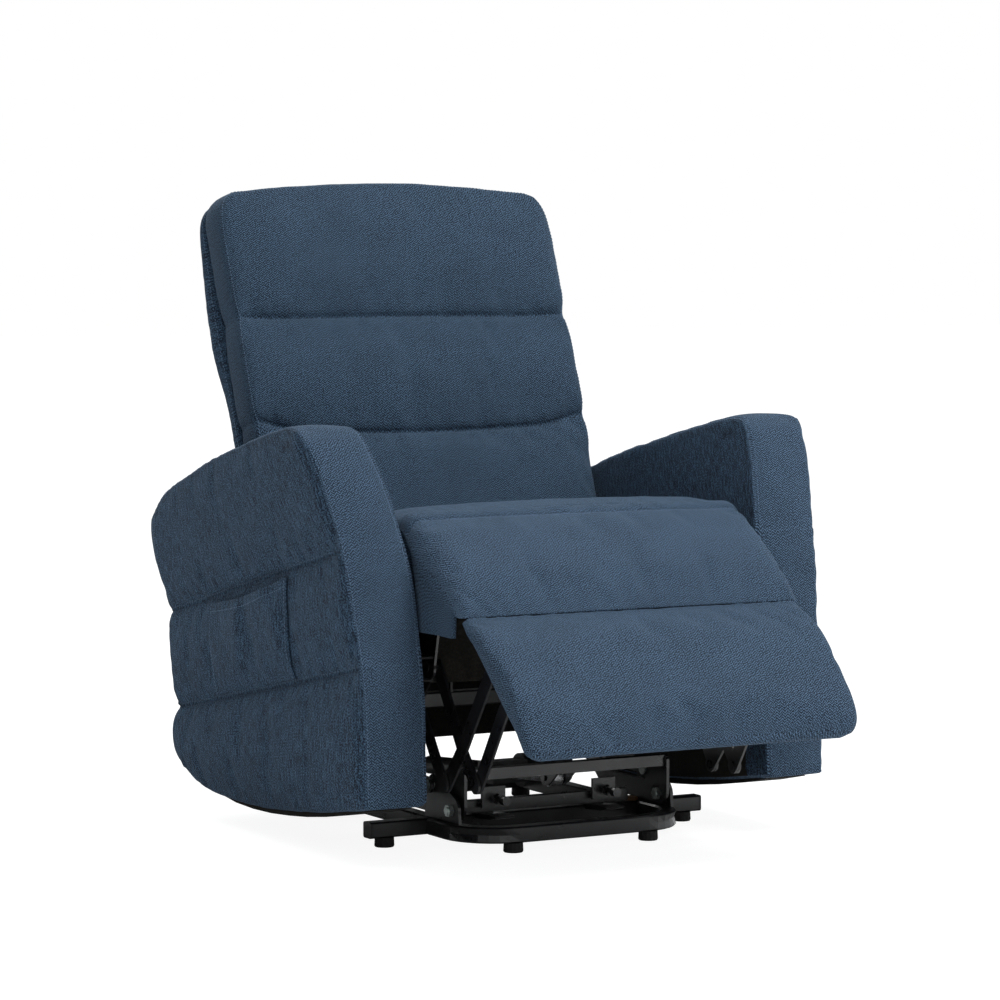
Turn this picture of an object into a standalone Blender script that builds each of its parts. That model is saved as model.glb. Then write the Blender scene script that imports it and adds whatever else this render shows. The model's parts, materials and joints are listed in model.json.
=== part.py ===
"""Lift recliner chair with a floor base, a tilting lift linkage, a scissor footrest and a reclining back.

Metres, +Z up, the sitter faces -Y, +X is on the right of a viewer in front of the chair.
The chair stands as photographed: lift down, footrest half open, back leaning about 21 degrees.
Points in the chair's side view are (y, z) pairs, measured from the outrigger tube's line on the floor.
"""

import math

import bmesh
import bpy
from mathutils import Matrix, Vector

# ---------------------------------------------------------------- driving dimensions
MID_Y = 0.0500  # how far the middle of the whole chair lies behind the outrigger tube
GAP = 0.0003  # clearance between pieces that touch
FIT = 0.0006  # radial clearance of a turning pivot
LOOSE = 0.0028  # radial clearance of a pivot that closes a linkage

# floor base
TUBE = 0.025  # square tube
FOOT_HEIGHT = 0.015
FOOT_RADIUS = 0.0155
TUBE_TOP = FOOT_HEIGHT + TUBE
TUBE_MID = FOOT_HEIGHT + TUBE / 2
OUTRIGGER_HALF = 0.298
CAP_LENGTH = 0.004
LOOP_HALF = 0.189  # the front loop's side runs
LOOP_FRONT = -0.1425  # the front run's centre line
LOOP_BEND = 0.075
LOOP_PINCH = 0.0045  # how far the tube's walls draw in where it is bent
RAIL_HALF = 0.180
REAR_TUBE_Y = 0.365
REAR_TUBE_HALF = 0.205
SIDE_FOOT_X = 0.268
FRONT_FOOT_X = 0.120
REAR_FOOT_X = 0.178

# lift linkage: lower arm A-D, upper stay B-E
PIVOT_A = (-0.076, 0.060)
PIVOT_B = (-0.016, 0.092)
PIVOT_D = (0.159, 0.125)
PIVOT_E = (0.348, 0.200)
PLATE = 0.005  # lift plates and links
ARM_PLATE_X = 0.178  # inner face of the lift arms
RISER_X = ARM_PLATE_X + PLATE + 0.004
STAY_X = RISER_X + PLATE + 0.004
PIVOT_PIN = 0.006
LIFT_ARM_NOSE = (-0.0775, TUBE_TOP + 0.027)  # centre of the lift arm's rounded front end
LIFT_ARM_NOSE_RADIUS = 0.0235
LIFT_ARM_LOW = TUBE_TOP + 0.0065  # underside and top of the lift arm's level run
LIFT_ARM_HIGH = 0.078
LIFT_BAR_Y = -0.095  # front face of the bar that joins the lift arms
LIFT_BAR_DEPTH = 0.020
LIFT_BAR_LOW = 0.106
LIFT_BAR_HIGH = 0.123
STOP_BAR_HALF = 0.150
STOP_BRACKET_X = 0.099
STOP_BRACKET_WIDTH = 0.041

# lift actuator
LIFT_PIN_REAR = (0.365, 0.064)
LIFT_PIN_FRONT = (-0.054, 0.096)
ROD_RADIUS = 0.009
SLEEVE_RADIUS = 0.015
LIFT_GEARBOX_AT = 0.220  # from the rear pin to the gearbox
MOTOR_CAN_RADIUS = 0.027
MOTOR_CAN_LENGTH = 0.085

# chair frame that the lift carries
CROSS_TUBE_Y = 0.250
CROSS_TUBE_LOW = 0.175
ARM_INNER = 0.299  # half the room between the arms
RAIL_MID = 0.2885  # height of the rails' middle and of the rollers' axles
ROLLER_ROOM = 0.0005  # between a roller and the rail above and below it
RAIL_WALL = 0.003
RAIL_DEPTH = 0.036
RAIL_FRONT = -0.150
RAIL_REAR = 0.400

# seat
SEAT_TRAVEL_BACK = 0.045
SEAT_TRAVEL_FORWARD = 0.0405
SEAT_BOX_HALF = ARM_INNER - 0.0155
SEAT_BOX_LOW = 0.3465
SEAT_BOX_HIGH = 0.3915
SEAT_BOX_FRONT = -0.150
SEAT_BOX_REAR = 0.350
BOARD = 0.012
SEAT_HALF = ARM_INNER - 0.003
SEAT_FRONT_TOP = (-0.1022, 0.515)
SEAT_REAR_TOP = (0.276, 0.468)
SEAT_CROWN = 0.010
SEAT_PLATE_X = ARM_INNER - 0.0565  # plates stand inside the rails that hang on the arms
SEAT_PLATE = 0.004
ROLLER_RADIUS = 0.0150
RAIL_LOW = RAIL_MID - ROLLER_RADIUS - ROLLER_ROOM - RAIL_WALL
RAIL_HIGH = RAIL_MID + ROLLER_RADIUS + ROLLER_ROOM + RAIL_WALL
ROLLER_REAR_Y = 0.300
ROLLER_FRONT_Y = -0.080
DRIVE_TUBE = (0.020, 0.262)
DRIVE_TUBE_RADIUS = 0.0125
RECLINE_AXIS_Z = 0.262
RECLINE_X = -0.045

# front flap, from the seat's front edge down to the footrest
FLAP_HINGE = (-0.121, 0.508)
FLAP_REACH = 0.0182  # from the hinge back to the seat cushion's front
FLAP_TOP = (-0.124, 0.518)
FLAP_END = (-0.2985, 0.3805)
FLAP_ROOT = 0.028  # the flap's thickness at the hinge, halfway and at the free end
FLAP_THICK = 0.040
FLAP_LIP = 0.014
FLAP_HALF = ARM_INNER - 0.0025
FLAP_PUFF = 0.015
WING_WALL = 0.0125
WING_FRONT_Y = -0.270
WING_LOW = 0.346

# footrest linkage
LINK_WIDTH = 0.025
LINK_THICK = 0.004
LINK_PITCH = 0.005
LINK_X = SEAT_PLATE_X - 4 * LINK_PITCH  # inner face of the innermost link
LINK_PIN = 0.005
P1 = (-0.1022, 0.2863)  # front link on the seat plate
P4 = (-0.0567, 0.2311)  # rear link on the seat plate
C = (-0.1846, 0.1621)  # front link on cross link
K1 = (-0.2219, 0.1186)  # front link on ottoman link
K2 = (-0.1408, 0.1108)  # rear link on cross link
F2 = (-0.2880, 0.3098)  # cross link on footrest bracket
F3 = (-0.3206, 0.2723)  # ottoman link on footrest bracket

# footrest
PAD_TOP = (-0.307, 0.370)  # top edge, on the plane that the pad is measured from
PAD_SLOPE = math.radians(45)
PAD_LENGTH = 0.246
PAD_HALF_TOP = ARM_INNER - 0.003
PAD_HALF_BOTTOM = ARM_INNER - 0.011
PAD_BACK = 0.023  # its back and its puffed face, behind and before that plane
PAD_PUFF = 0.027
PAD_BULGE = 0.004  # how far its sides swell halfway down
PAD_CORNER = 0.035
FOOT_BOARD = 0.011
FOOT_BOARD_RIM = 0.024
BRACKET_WALL = 0.004
BRACKET_DEPTH = 0.048

# back
BACK_BASE = (0.291, 0.440)  # lower front edge
BACK_LEAN = math.radians(21.5)
BACK_LENGTH = 0.618
BACK_HALF_LOW = ARM_INNER + 0.005
BACK_HALF_HIGH = ARM_INNER + 0.015
BACK_NARROW = 0.120  # how far up it stays narrow enough to swing between the arms
BACK_CUSHION = 0.058
BACK_SHELL_LOW = 0.037
BACK_SHELL_HIGH = 0.019
BACK_CORNER = 0.040
BACK_BOWS = (0.0, -0.016, 0.0, 0.016)  # how far the middle runs above the ends, at each seam
BACK_SIDE_DRAW = 0.010
BACK_SHELL_INSET = 0.0055  # the shell's lower sides, which swing between the arms
BACK_CROWN = 0.010
BACK_SEAMS = (0.206, 0.392)  # up the back from its lower edge
SEAM_DEPTH = 0.020
BACK_PIVOT = (0.330, 0.370)

# arms
ARM_EDGE = 0.013  # rounding of the upholstered edges
ARM_PUFF = 0.010
ARM_BOARD_DROP = 0.007
REAR_PANEL_Y = 0.455
REAR_PANEL = 0.015
REAR_PANEL_LOW = 0.095
REAR_PANEL_HIGH = 0.375
POCKET_FRONT_Y = 0.030
POCKET_REAR_Y = 0.318
POCKET_WALL = 0.004
POCKET_ROOM = 0.011

LOWER_SEAM = ((-0.190, 0.301), (0.473, 0.173))  # the seams that part an arm's three bands
UPPER_SEAM = ((-0.154, 0.473), (0.494, 0.326))

# an arm's outline in three bands, from the floor upwards
ARM_FRONT = [[(-0.205, 0.092), (-0.202, 0.170), (-0.198, 0.247), LOWER_SEAM[0]],
             [LOWER_SEAM[0], (-0.181, 0.347), (-0.166, 0.428), UPPER_SEAM[0]],
             [UPPER_SEAM[0], (-0.118, 0.572), (-0.082, 0.629), (-0.062, 0.646)]]
ARM_REAR = [[(0.440, 0.077), (0.472, 0.104), (0.484, 0.139), LOWER_SEAM[1]],
            [LOWER_SEAM[1], (0.484, 0.230), (0.490, 0.288), UPPER_SEAM[1]],
            [UPPER_SEAM[1], (0.510, 0.366), (0.526, 0.415), (0.531, 0.452), (0.522, 0.478)]]
ARM_TOP = [(-0.062, 0.646), (-0.029, 0.649), (0.026, 0.641), (0.115, 0.622), (0.277, 0.583),
           (0.361, 0.557), (0.449, 0.528), (0.490, 0.506), (0.522, 0.478)]
ARM_BOTTOM = [(-0.205, 0.092), (-0.133, 0.081), (-0.013, 0.064), (0.083, 0.054), (0.181, 0.047),
              (0.272, 0.046), (0.345, 0.049), (0.397, 0.060), (0.440, 0.077)]
ARM_ROWS = ((0.0, 0.02, 0.08, 0.3, 0.55, 0.8, 0.94), (0.0, 0.06, 0.2, 0.5, 0.8, 0.94),
            (0.0, 0.06, 0.2, 0.45, 0.7, 0.92, 0.98, 1.0))


# ---------------------------------------------------------------- small geometry helpers
def along(point, direction, distance):
    return (point[0] + direction[0] * distance, point[1] + direction[1] * distance)


def unit(p, q):
    length = math.dist(p, q)
    return ((q[0] - p[0]) / length, (q[1] - p[1]) / length)


def lerp(a, b, t):
    return a + (b - a) * t


def mix(p, q, t):
    return tuple(lerp(a, b, t) for a, b in zip(p, q))


def curve_point(points, t):
    """A point at t in 0..1 on a smooth curve through the given points, spaced by their distances."""
    steps = [0.0]
    for p, q in zip(points, points[1:]):
        steps.append(steps[-1] + math.dist(p, q))
    want = t * steps[-1]
    i = max(k for k in range(len(points) - 1) if steps[k] <= want + 1e-12)
    u = (want - steps[i]) / (steps[i + 1] - steps[i])
    before = points[max(i - 1, 0)]
    p, q = points[i], points[i + 1]
    after = points[min(i + 2, len(points) - 1)]
    out = []
    for axis in range(len(p)):
        m0 = (q[axis] - before[axis]) / 2
        m1 = (after[axis] - p[axis]) / 2
        out.append((2 * u**3 - 3 * u**2 + 1) * p[axis] + (u**3 - 2 * u**2 + u) * m0
                   + (-2 * u**3 + 3 * u**2) * q[axis] + (u**3 - u**2) * m1)
    return tuple(out)


def arc(centre, radius, start, end, count):
    """Points on an arc in the side view, from start to end in degrees, 0 along +Y and 90 along +Z."""
    angles = [math.radians(lerp(start, end, i / count)) for i in range(count + 1)]
    return [(centre[0] + radius * math.cos(a), centre[1] + radius * math.sin(a)) for a in angles]


def band_outline(points, half_width, steps=5):
    """Outline of a flat bar of even width with round ends that runs through the points."""
    left, right = [], []
    for i, p in enumerate(points):
        if 0 < i < len(points) - 1:
            a = unit(points[i - 1], p)
            b = unit(p, points[i + 1])
            n = unit((0, 0), (-(a[1] + b[1]), a[0] + b[0]))
            stretch = half_width / (n[0] * -a[1] + n[1] * a[0])
            left.append(along(p, n, stretch))
            right.append(along(p, n, -stretch))
    heading = math.degrees(math.atan2(points[-1][1] - points[-2][1], points[-1][0] - points[-2][0]))
    tail = math.degrees(math.atan2(points[1][1] - points[0][1], points[1][0] - points[0][0]))
    nose = arc(points[-1], half_width, heading + 90, heading - 90, steps)
    back = arc(points[0], half_width, tail - 90, tail - 270, steps)
    return left + nose + right[::-1] + back


def hull_outline(circles, steps=20):
    """Outline round a set of (centre, radius) circles, as a plate's rounded edge."""
    points = sorted(p for centre, radius in circles for p in arc(centre, radius, 0, 360, steps)[:-1])

    def turn(o, a, b):
        return (a[0] - o[0]) * (b[1] - o[1]) - (a[1] - o[1]) * (b[0] - o[0])

    chains = []
    for ordered in (points, points[::-1]):
        chain = []
        for p in ordered:
            while len(chain) > 1 and turn(chain[-2], chain[-1], p) <= 1e-12:
                chain.pop()
            chain.append(p)
        chains.append(chain[:-1])
    return chains[0] + chains[1]


# ---------------------------------------------------------------- meshes
def finish(bm, name):
    bmesh.ops.recalc_face_normals(bm, faces=bm.faces)
    mesh = bpy.data.meshes.new(name)
    bm.to_mesh(mesh)
    bm.free()
    return mesh


def prism(outline, x0, x1):
    """Side-view outline carried across the chair from x0 to x1."""
    bm = bmesh.new()
    ends = [[bm.verts.new((x, y, z)) for y, z in outline] for x in (x0, x1)]
    for ring in ends:
        bm.faces.new(ring)
    count = len(outline)
    for i in range(count):
        j = (i + 1) % count
        bm.faces.new((ends[0][i], ends[0][j], ends[1][j], ends[1][i]))
    return finish(bm, "prism")


def box(x0, x1, y0, y1, z0, z1):
    return prism([(y0, z0), (y1, z0), (y1, z1), (y0, z1)], x0, x1)


def pin(centre, radius, x0, x1, sides=12):
    """Round pin across the chair."""
    return prism(arc(centre, radius, 0, 360, sides)[:-1], x0, x1)


def hexagon(centre, across, x0, x1):
    return prism(arc(centre, across / math.sqrt(3), 0, 360, 6)[:-1], x0, x1)


def rod_between(start, end, radius, sides=14):
    """Round bar between two points in space."""
    start, end = Vector(start), Vector(end)
    bm = bmesh.new()
    bmesh.ops.create_cone(bm, cap_ends=True, segments=sides, radius1=radius, radius2=radius,
                          depth=(end - start).length)
    turn = Vector((0, 0, 1)).rotation_difference(end - start).to_matrix().to_4x4()
    bmesh.ops.transform(bm, matrix=Matrix.Translation((start + end) / 2) @ turn, verts=bm.verts)
    return finish(bm, "rod")


def loft(rings, closed_ends=True):
    """Skin over rings of points that all have the same count."""
    bm = bmesh.new()
    rows = [[bm.verts.new(p) for p in ring] for ring in rings]
    count = len(rings[0])
    for a, b in zip(rows, rows[1:]):
        for i in range(count):
            j = (i + 1) % count
            bm.faces.new((a[i], a[j], b[j], b[i]))
    if closed_ends:
        bm.faces.new(rows[0])
        bm.faces.new(rows[-1])
    return finish(bm, "loft")


def combined(parts, cuts=()):
    """One mesh: the first part joined with the others, less the cuts."""
    scene = bpy.context.scene.collection
    objects = []
    for mesh in list(parts) + list(cuts):
        obj = bpy.data.objects.new("piece", mesh)
        scene.objects.link(obj)
        objects.append(obj)
    body = objects[0]
    for i, other in enumerate(objects[1:], start=1):
        mod = body.modifiers.new("join", "BOOLEAN")
        mod.operation = "UNION" if i < len(parts) else "DIFFERENCE"
        mod.solver = "EXACT"
        mod.object = other
    bpy.context.view_layer.update()
    result = bpy.data.meshes.new_from_object(body.evaluated_get(bpy.context.evaluated_depsgraph_get()))
    for obj in objects:
        bpy.data.objects.remove(obj)
    return result


def mirrored(mesh):
    """The same mesh on the other side of the chair."""
    copy = mesh.copy()
    copy.transform(Matrix.Scale(-1, 4, (1, 0, 0)))
    copy.flip_normals()
    return copy


# ---------------------------------------------------------------- materials, bodies and pieces
PALETTE = {
    "fabric_blue": ((0.040, 0.085, 0.150), 0.95, 0.0),
    "black_cloth": ((0.012, 0.011, 0.011), 0.95, 0.0),
    "black_steel": ((0.020, 0.020, 0.023), 0.38, 0.6),
    "zinc": ((0.72, 0.76, 0.76), 0.28, 1.0),
    "black_plastic": ((0.022, 0.021, 0.021), 0.5, 0.0),
    "rubber": ((0.018, 0.018, 0.018), 0.8, 0.0),
    "brown_rubber": ((0.20, 0.11, 0.05), 0.7, 0.0),
    "bright_steel": ((0.60, 0.60, 0.60), 0.25, 1.0),
    "black_board": ((0.014, 0.012, 0.011), 0.9, 0.0),
}

# each body turns or slides about its own pivot point in the side view
BODIES = {
    "base": (None, (0.0, 0.0)),
    "lift_arms": ("base", PIVOT_A),
    "lift_stays": ("base", PIVOT_B),
    "lift_motor": ("base", LIFT_PIN_REAR),
    "lift_rod": ("lift_motor", LIFT_PIN_FRONT),
    "chair_frame": ("lift_arms", PIVOT_D),
    "seat_unit": ("chair_frame", P1),
    "front_links": ("seat_unit", P1),
    "rear_links": ("seat_unit", P4),
    "cross_links": ("front_links", C),
    "ottoman_links": ("front_links", K1),
    "footrest": ("cross_links", F2),
    "front_flap": ("seat_unit", FLAP_HINGE),
    "backrest": ("seat_unit", BACK_PIVOT),
}


def make_material(name):
    colour, roughness, metallic = PALETTE[name]
    mat = bpy.data.materials.new(name)
    mat.use_nodes = True
    shader = mat.node_tree.nodes["Principled BSDF"]
    shader.inputs["Base Color"].default_value = (*colour, 1.0)
    shader.inputs["Roughness"].default_value = roughness
    shader.inputs["Metallic"].default_value = metallic
    return mat


def make_bodies():
    """An empty on every joint, each the parent of the next, under one that centres the chair."""
    scene = bpy.context.scene.collection
    centre = bpy.data.objects.new("chair_centre", None)
    centre.location = (0, -MID_Y, 0)
    scene.objects.link(centre)
    empties = {}
    for name, (parent, (y, z)) in BODIES.items():
        empty = bpy.data.objects.new(f"{name}_joint", None)
        scene.objects.link(empty)
        above = BODIES[parent][1] if parent else (0.0, 0.0)
        empty.parent = empties[parent] if parent else centre
        empty.location = (0, y - above[0], z - above[1])
        empties[name] = empty
    return empties


class Chair:
    """Collects the pieces and hangs each on its body's joint."""

    def __init__(self):
        self.empties = make_bodies()
        self.materials = {name: make_material(name) for name in PALETTE}

    def add(self, name, body, mesh, material, smooth=35):
        y, z = BODIES[body][1]
        mesh.transform(Matrix.Translation((0, -y, -z)))
        mesh.name = name
        mesh.materials.clear()
        mesh.materials.append(self.materials[material])
        mesh.shade_smooth()
        mesh.set_sharp_from_angle(angle=math.radians(smooth))
        obj = bpy.data.objects.new(name, mesh)
        obj.parent = self.empties[body]
        bpy.context.scene.collection.objects.link(obj)

    def add_pair(self, name, body, mesh, material, smooth=35):
        """The piece on the +X side as left (the sitter's left), and its mirror image as right."""
        self.add(f"{name}_right", body, mirrored(mesh), material, smooth)
        self.add(f"{name}_left", body, mesh, material, smooth)


# ---------------------------------------------------------------- floor base
def rounded_square(size, corner=0.0025):
    """Corners of a square tube's section, as (across, up) with small flats."""
    h = size / 2
    return [(h, -h + corner), (h, h - corner), (h - corner, h), (-h + corner, h),
            (-h, h - corner), (-h, -h + corner), (-h + corner, -h), (h - corner, -h)]


def front_loop():
    """The bent tube in front: two side runs and a front run, its walls drawn in at the bends."""
    start_y = -TUBE / 2 - GAP
    bend_y = LOOP_FRONT + LOOP_BEND
    centre_x = LOOP_HALF - LOOP_BEND
    bend_steps = 8
    path = [(LOOP_HALF, start_y, 0.0, 0.0)]
    for i in range(bend_steps + 1):
        a = math.radians(90 * i / bend_steps)
        pinch = math.sin(2 * a) ** 2 * LOOP_PINCH
        path.append((centre_x + LOOP_BEND * math.cos(a), bend_y - LOOP_BEND * math.sin(a), a, pinch))
    path += [(-x, y, math.pi - a, pinch) for x, y, a, pinch in reversed(path)]
    h = TUBE / 2
    corner = 0.0025
    rings = []
    for x, y, a, pinch in path:
        section = [(h, -h + corner), (h - pinch, 0), (h, h - corner), (h - corner, h),
                   (-h + corner, h), (-h, h - corner), (-h + pinch * 1.4, 0), (-h, -h + corner),
                   (-h + corner, -h), (h - corner, -h)]
        rings.append([(x + s * math.cos(a), y - s * math.sin(a), TUBE_MID + u) for s, u in section])
    return loft(rings)


def straight_tube(start, end):
    """Square tube between two points, with small corner flats."""
    start, end = Vector(start), Vector(end)
    forward = (end - start).normalized()
    side = forward.cross(Vector((0, 0, 1)))
    section = rounded_square(TUBE)
    return loft([[p + side * s + Vector((0, 0, u)) for s, u in section] for p in (start, end)])


def foot():
    """Turned rubber foot with a slight flare, standing on the floor at the origin."""
    profile = [(FOOT_RADIUS * 0.93, 0.0), (FOOT_RADIUS, 0.002), (FOOT_RADIUS * 0.96, FOOT_HEIGHT - GAP)]
    sides = 14
    rings = [[(r * math.cos(2 * math.pi * i / sides), r * math.sin(2 * math.pi * i / sides), z)
              for i in range(sides)] for r, z in profile]
    return loft(rings)


def base_cross_tube():
    tube = straight_tube((-OUTRIGGER_HALF + CAP_LENGTH, 0, TUBE_MID),
                         (OUTRIGGER_HALF - CAP_LENGTH, 0, TUBE_MID))
    tabs = []
    for side in (-1, 1):
        x = side * STOP_BRACKET_X
        wedge = [(-TUBE / 2 + 0.001, TUBE_TOP - 0.006), (-0.062, TUBE_TOP - 0.002), (-0.078, TUBE_TOP + 0.002),
                 (-0.078, TUBE_TOP + 0.004), (-0.050, TUBE_TOP + 0.005), (-TUBE / 2 + 0.001, TUBE_TOP + 0.001)]
        tabs.append(prism(wedge, x - 0.017, x + 0.017))
    return combined([tube] + tabs)


def riser():
    """Upright plate on the base that carries both lift pivots."""
    outline = [(-0.100, TUBE_TOP + GAP), (0.012, TUBE_TOP + GAP)]
    outline += arc(PIVOT_B, 0.017, 0, 110, 6)
    outline += arc(PIVOT_A, 0.022, 110, 190, 6)
    plate = prism(outline, RISER_X, RISER_X + PLATE)
    holes = [pin(p, PIVOT_PIN + GAP, RISER_X - 0.01, RISER_X + PLATE + 0.01) for p in (PIVOT_A, PIVOT_B)]
    return combined([plate], holes)


def lower_bolt():
    """Zinc bolt through the lift arm and the riser, with a hexagon nut at each end."""
    x_in, x_out = ARM_PLATE_X, RISER_X + PLATE
    shank = pin(PIVOT_A, PIVOT_PIN, x_in - 0.008, x_out + 0.010)
    inner = hexagon(PIVOT_A, 0.017, x_in - 0.007, x_in - GAP)
    outer = hexagon(PIVOT_A, 0.017, x_out + GAP, x_out + 0.008)
    return combined([shank, inner, outer])


def upper_bolt():
    """Zinc bolt through the riser and the stay: a flat head inside, a hexagon nut outside."""
    x_out = STAY_X + PLATE
    shank = pin(PIVOT_B, PIVOT_PIN, RISER_X - 0.002, x_out + 0.010)
    head = pin(PIVOT_B, 0.010, RISER_X - 0.003, RISER_X - GAP)
    nut = hexagon(PIVOT_B, 0.017, x_out + GAP, x_out + 0.008)
    return combined([shank, head, nut])


def stop_bar():
    """Low cross bar on two standing brackets, with a stop bolt in each."""
    bar = box(-STOP_BAR_HALF, STOP_BAR_HALF, -0.030, -0.012, TUBE_TOP + 0.006, TUBE_TOP + 0.024)
    parts = [bar]
    for side in (-1, 1):
        x = side * STOP_BRACKET_X
        half = STOP_BRACKET_WIDTH / 2
        lip = 0.004
        plate = box(x - half, x + half, -0.042, -0.037, TUBE_TOP + 0.013, TUBE_TOP + 0.046)
        shelf = box(x - half, x + half, -0.040, -0.0125, TUBE_TOP + 0.020, TUBE_TOP + 0.023)
        leg = box(x - half + lip, x + half - lip, -0.011, 0.008, TUBE_TOP + GAP, TUBE_TOP + 0.010)
        leg_top = box(x - half + lip, x + half - lip, -0.024, 0.008, TUBE_TOP + 0.007, TUBE_TOP + 0.011)
        high = TUBE_TOP + 0.026
        stud = rod_between((x + 0.007, -0.070, high), (x + 0.007, -0.030, high), 0.004, 12)
        nut_at = Vector((x + 0.007, -0.048, high))
        nut = rod_between(nut_at, nut_at + Vector((0, 0.0055, 0)), 0.0085, 6)
        cap_at = Vector((x + 0.007, -0.071, high))
        cap = rod_between(cap_at, cap_at + Vector((0, 0.012, 0)), 0.0075, 12)
        parts += [plate, shelf, leg, leg_top, stud, nut, cap]
    return combined(parts)


def rear_base_tube():
    """Rear tube with the two ears that hold the lift actuator's rear pin."""
    tube = straight_tube((-REAR_TUBE_HALF, REAR_TUBE_Y, TUBE_MID), (REAR_TUBE_HALF, REAR_TUBE_Y, TUBE_MID))
    y, z = LIFT_PIN_REAR
    ear = [(y - 0.012, TUBE_TOP - 0.001), (y + 0.012, TUBE_TOP - 0.001)] + arc((y, z), 0.012, 0, 180, 8)
    parts = [tube]
    for side in (-1, 1):
        inner = side * 0.0165
        outer = side * 0.0205
        parts.append(prism(ear, min(inner, outer), max(inner, outer)))
    parts.append(pin(LIFT_PIN_REAR, PIVOT_PIN, -0.024, 0.024))
    return combined(parts)


def build_base(chair):
    chair.add("base_cross_tube", "base", base_cross_tube(), "black_steel")
    chair.add("base_front_loop", "base", front_loop(), "black_steel", 50)
    rail = straight_tube((RAIL_HALF, TUBE / 2 + GAP, TUBE_MID), (RAIL_HALF, REAR_TUBE_Y - TUBE / 2 - GAP, TUBE_MID))
    chair.add_pair("base_side_rail", "base", rail, "black_steel")
    chair.add("base_rear_tube", "base", rear_base_tube(), "black_steel")
    cap = straight_tube((OUTRIGGER_HALF - CAP_LENGTH + GAP, 0, TUBE_MID), (OUTRIGGER_HALF, 0, TUBE_MID))
    chair.add_pair("outrigger_end_cap", "base", cap, "black_plastic")
    spots = {"side": (SIDE_FOOT_X, 0.0), "front": (FRONT_FOOT_X, LOOP_FRONT + 0.0015),
             "rear": (REAR_FOOT_X, REAR_TUBE_Y)}
    for where, (x, y) in spots.items():
        mesh = foot()
        mesh.transform(Matrix.Translation((x, y, 0)))
        chair.add_pair(f"foot_{where}", "base", mesh, "rubber")
    chair.add_pair("lift_riser", "base", riser(), "black_steel")
    chair.add_pair("lower_pivot_bolt", "base", lower_bolt(), "zinc")
    chair.add_pair("upper_pivot_bolt", "base", upper_bolt(), "zinc")
    chair.add("stop_bar", "base", stop_bar(), "black_steel")
    under_arm = ARM_PLATE_X - 0.003
    bumper = rod_between((under_arm, 0, TUBE_TOP + GAP), (under_arm, 0, LIFT_ARM_LOW - GAP), 0.011)
    chair.add_pair("rest_bumper", "base", bumper, "brown_rubber")


# ---------------------------------------------------------------- lift linkage
def lift_arm():
    """Lower lift arm: a rounded nose below the bar, a level run and a rise to the chair frame."""
    y, z = LIFT_ARM_NOSE
    r = LIFT_ARM_NOSE_RADIUS
    bar_rear = LIFT_BAR_Y + LIFT_BAR_DEPTH
    outline = arc((y, z), r, 180, 285, 7)
    outline += [(-0.056, LIFT_ARM_LOW), (0.092, LIFT_ARM_LOW)]
    outline += arc(PIVOT_D, 0.016, -42, 132, 9)
    outline += [(0.088, LIFT_ARM_HIGH), (-0.034, LIFT_ARM_HIGH), (-0.046, LIFT_ARM_HIGH + 0.006)]
    outline += [(-0.052, LIFT_BAR_LOW - 0.004), (bar_rear + 0.003, LIFT_BAR_HIGH), (y - r + 0.006, LIFT_BAR_HIGH),
                (y - r, LIFT_BAR_HIGH - 0.006)]
    plate = prism(outline, ARM_PLATE_X, ARM_PLATE_X + PLATE)
    holes = [pin(p, PIVOT_PIN + FIT, ARM_PLATE_X - 0.01, ARM_PLATE_X + 0.02) for p in (PIVOT_A, PIVOT_D)]
    return combined([plate], holes)


def lift_bar():
    """Channel bar that joins both lift arms, with the clevis that the lift rod pushes."""
    half = ARM_PLATE_X - GAP
    rear = LIFT_BAR_Y + LIFT_BAR_DEPTH
    channel = box(-half, half, LIFT_BAR_Y, rear, LIFT_BAR_LOW, LIFT_BAR_HIGH)
    hollow = box(-half + 0.003, half - 0.003, LIFT_BAR_Y + 0.003, rear + 0.01, LIFT_BAR_LOW - 0.01, LIFT_BAR_HIGH - 0.003)
    y, z = LIFT_PIN_FRONT
    ear = arc((y, z), 0.012, -90, 60, 7) + [(rear - 0.004, LIFT_BAR_HIGH - 0.001), (LIFT_BAR_Y + 0.001, LIFT_BAR_HIGH - 0.001),
                                            (LIFT_BAR_Y + 0.001, LIFT_BAR_LOW), (y - 0.010, z - 0.012)]
    ears = [prism(ear, *sorted((s * 0.0125, s * 0.0165))) for s in (-1, 1)]
    cross = pin(LIFT_PIN_FRONT, PIVOT_PIN, -0.019, 0.019)
    shell = combined([channel], [hollow])
    return combined([shell] + ears + [cross])


def lift_stay():
    """Upper stay from the riser to the chair frame; its rear hole closes the linkage with clearance."""
    bend = (0.150, 0.100)
    plate = prism(band_outline([PIVOT_B, bend, PIVOT_E], 0.0125), STAY_X, STAY_X + PLATE)
    holes = [pin(PIVOT_B, PIVOT_PIN + FIT, STAY_X - 0.01, STAY_X + 0.02),
             pin(PIVOT_E, PIVOT_PIN + LOOSE, STAY_X - 0.01, STAY_X + 0.02)]
    return combined([plate], holes)


def actuator_axis():
    (y0, z0), (y1, z1) = LIFT_PIN_REAR, LIFT_PIN_FRONT
    return unit((y0, z0), (y1, z1))


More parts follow.
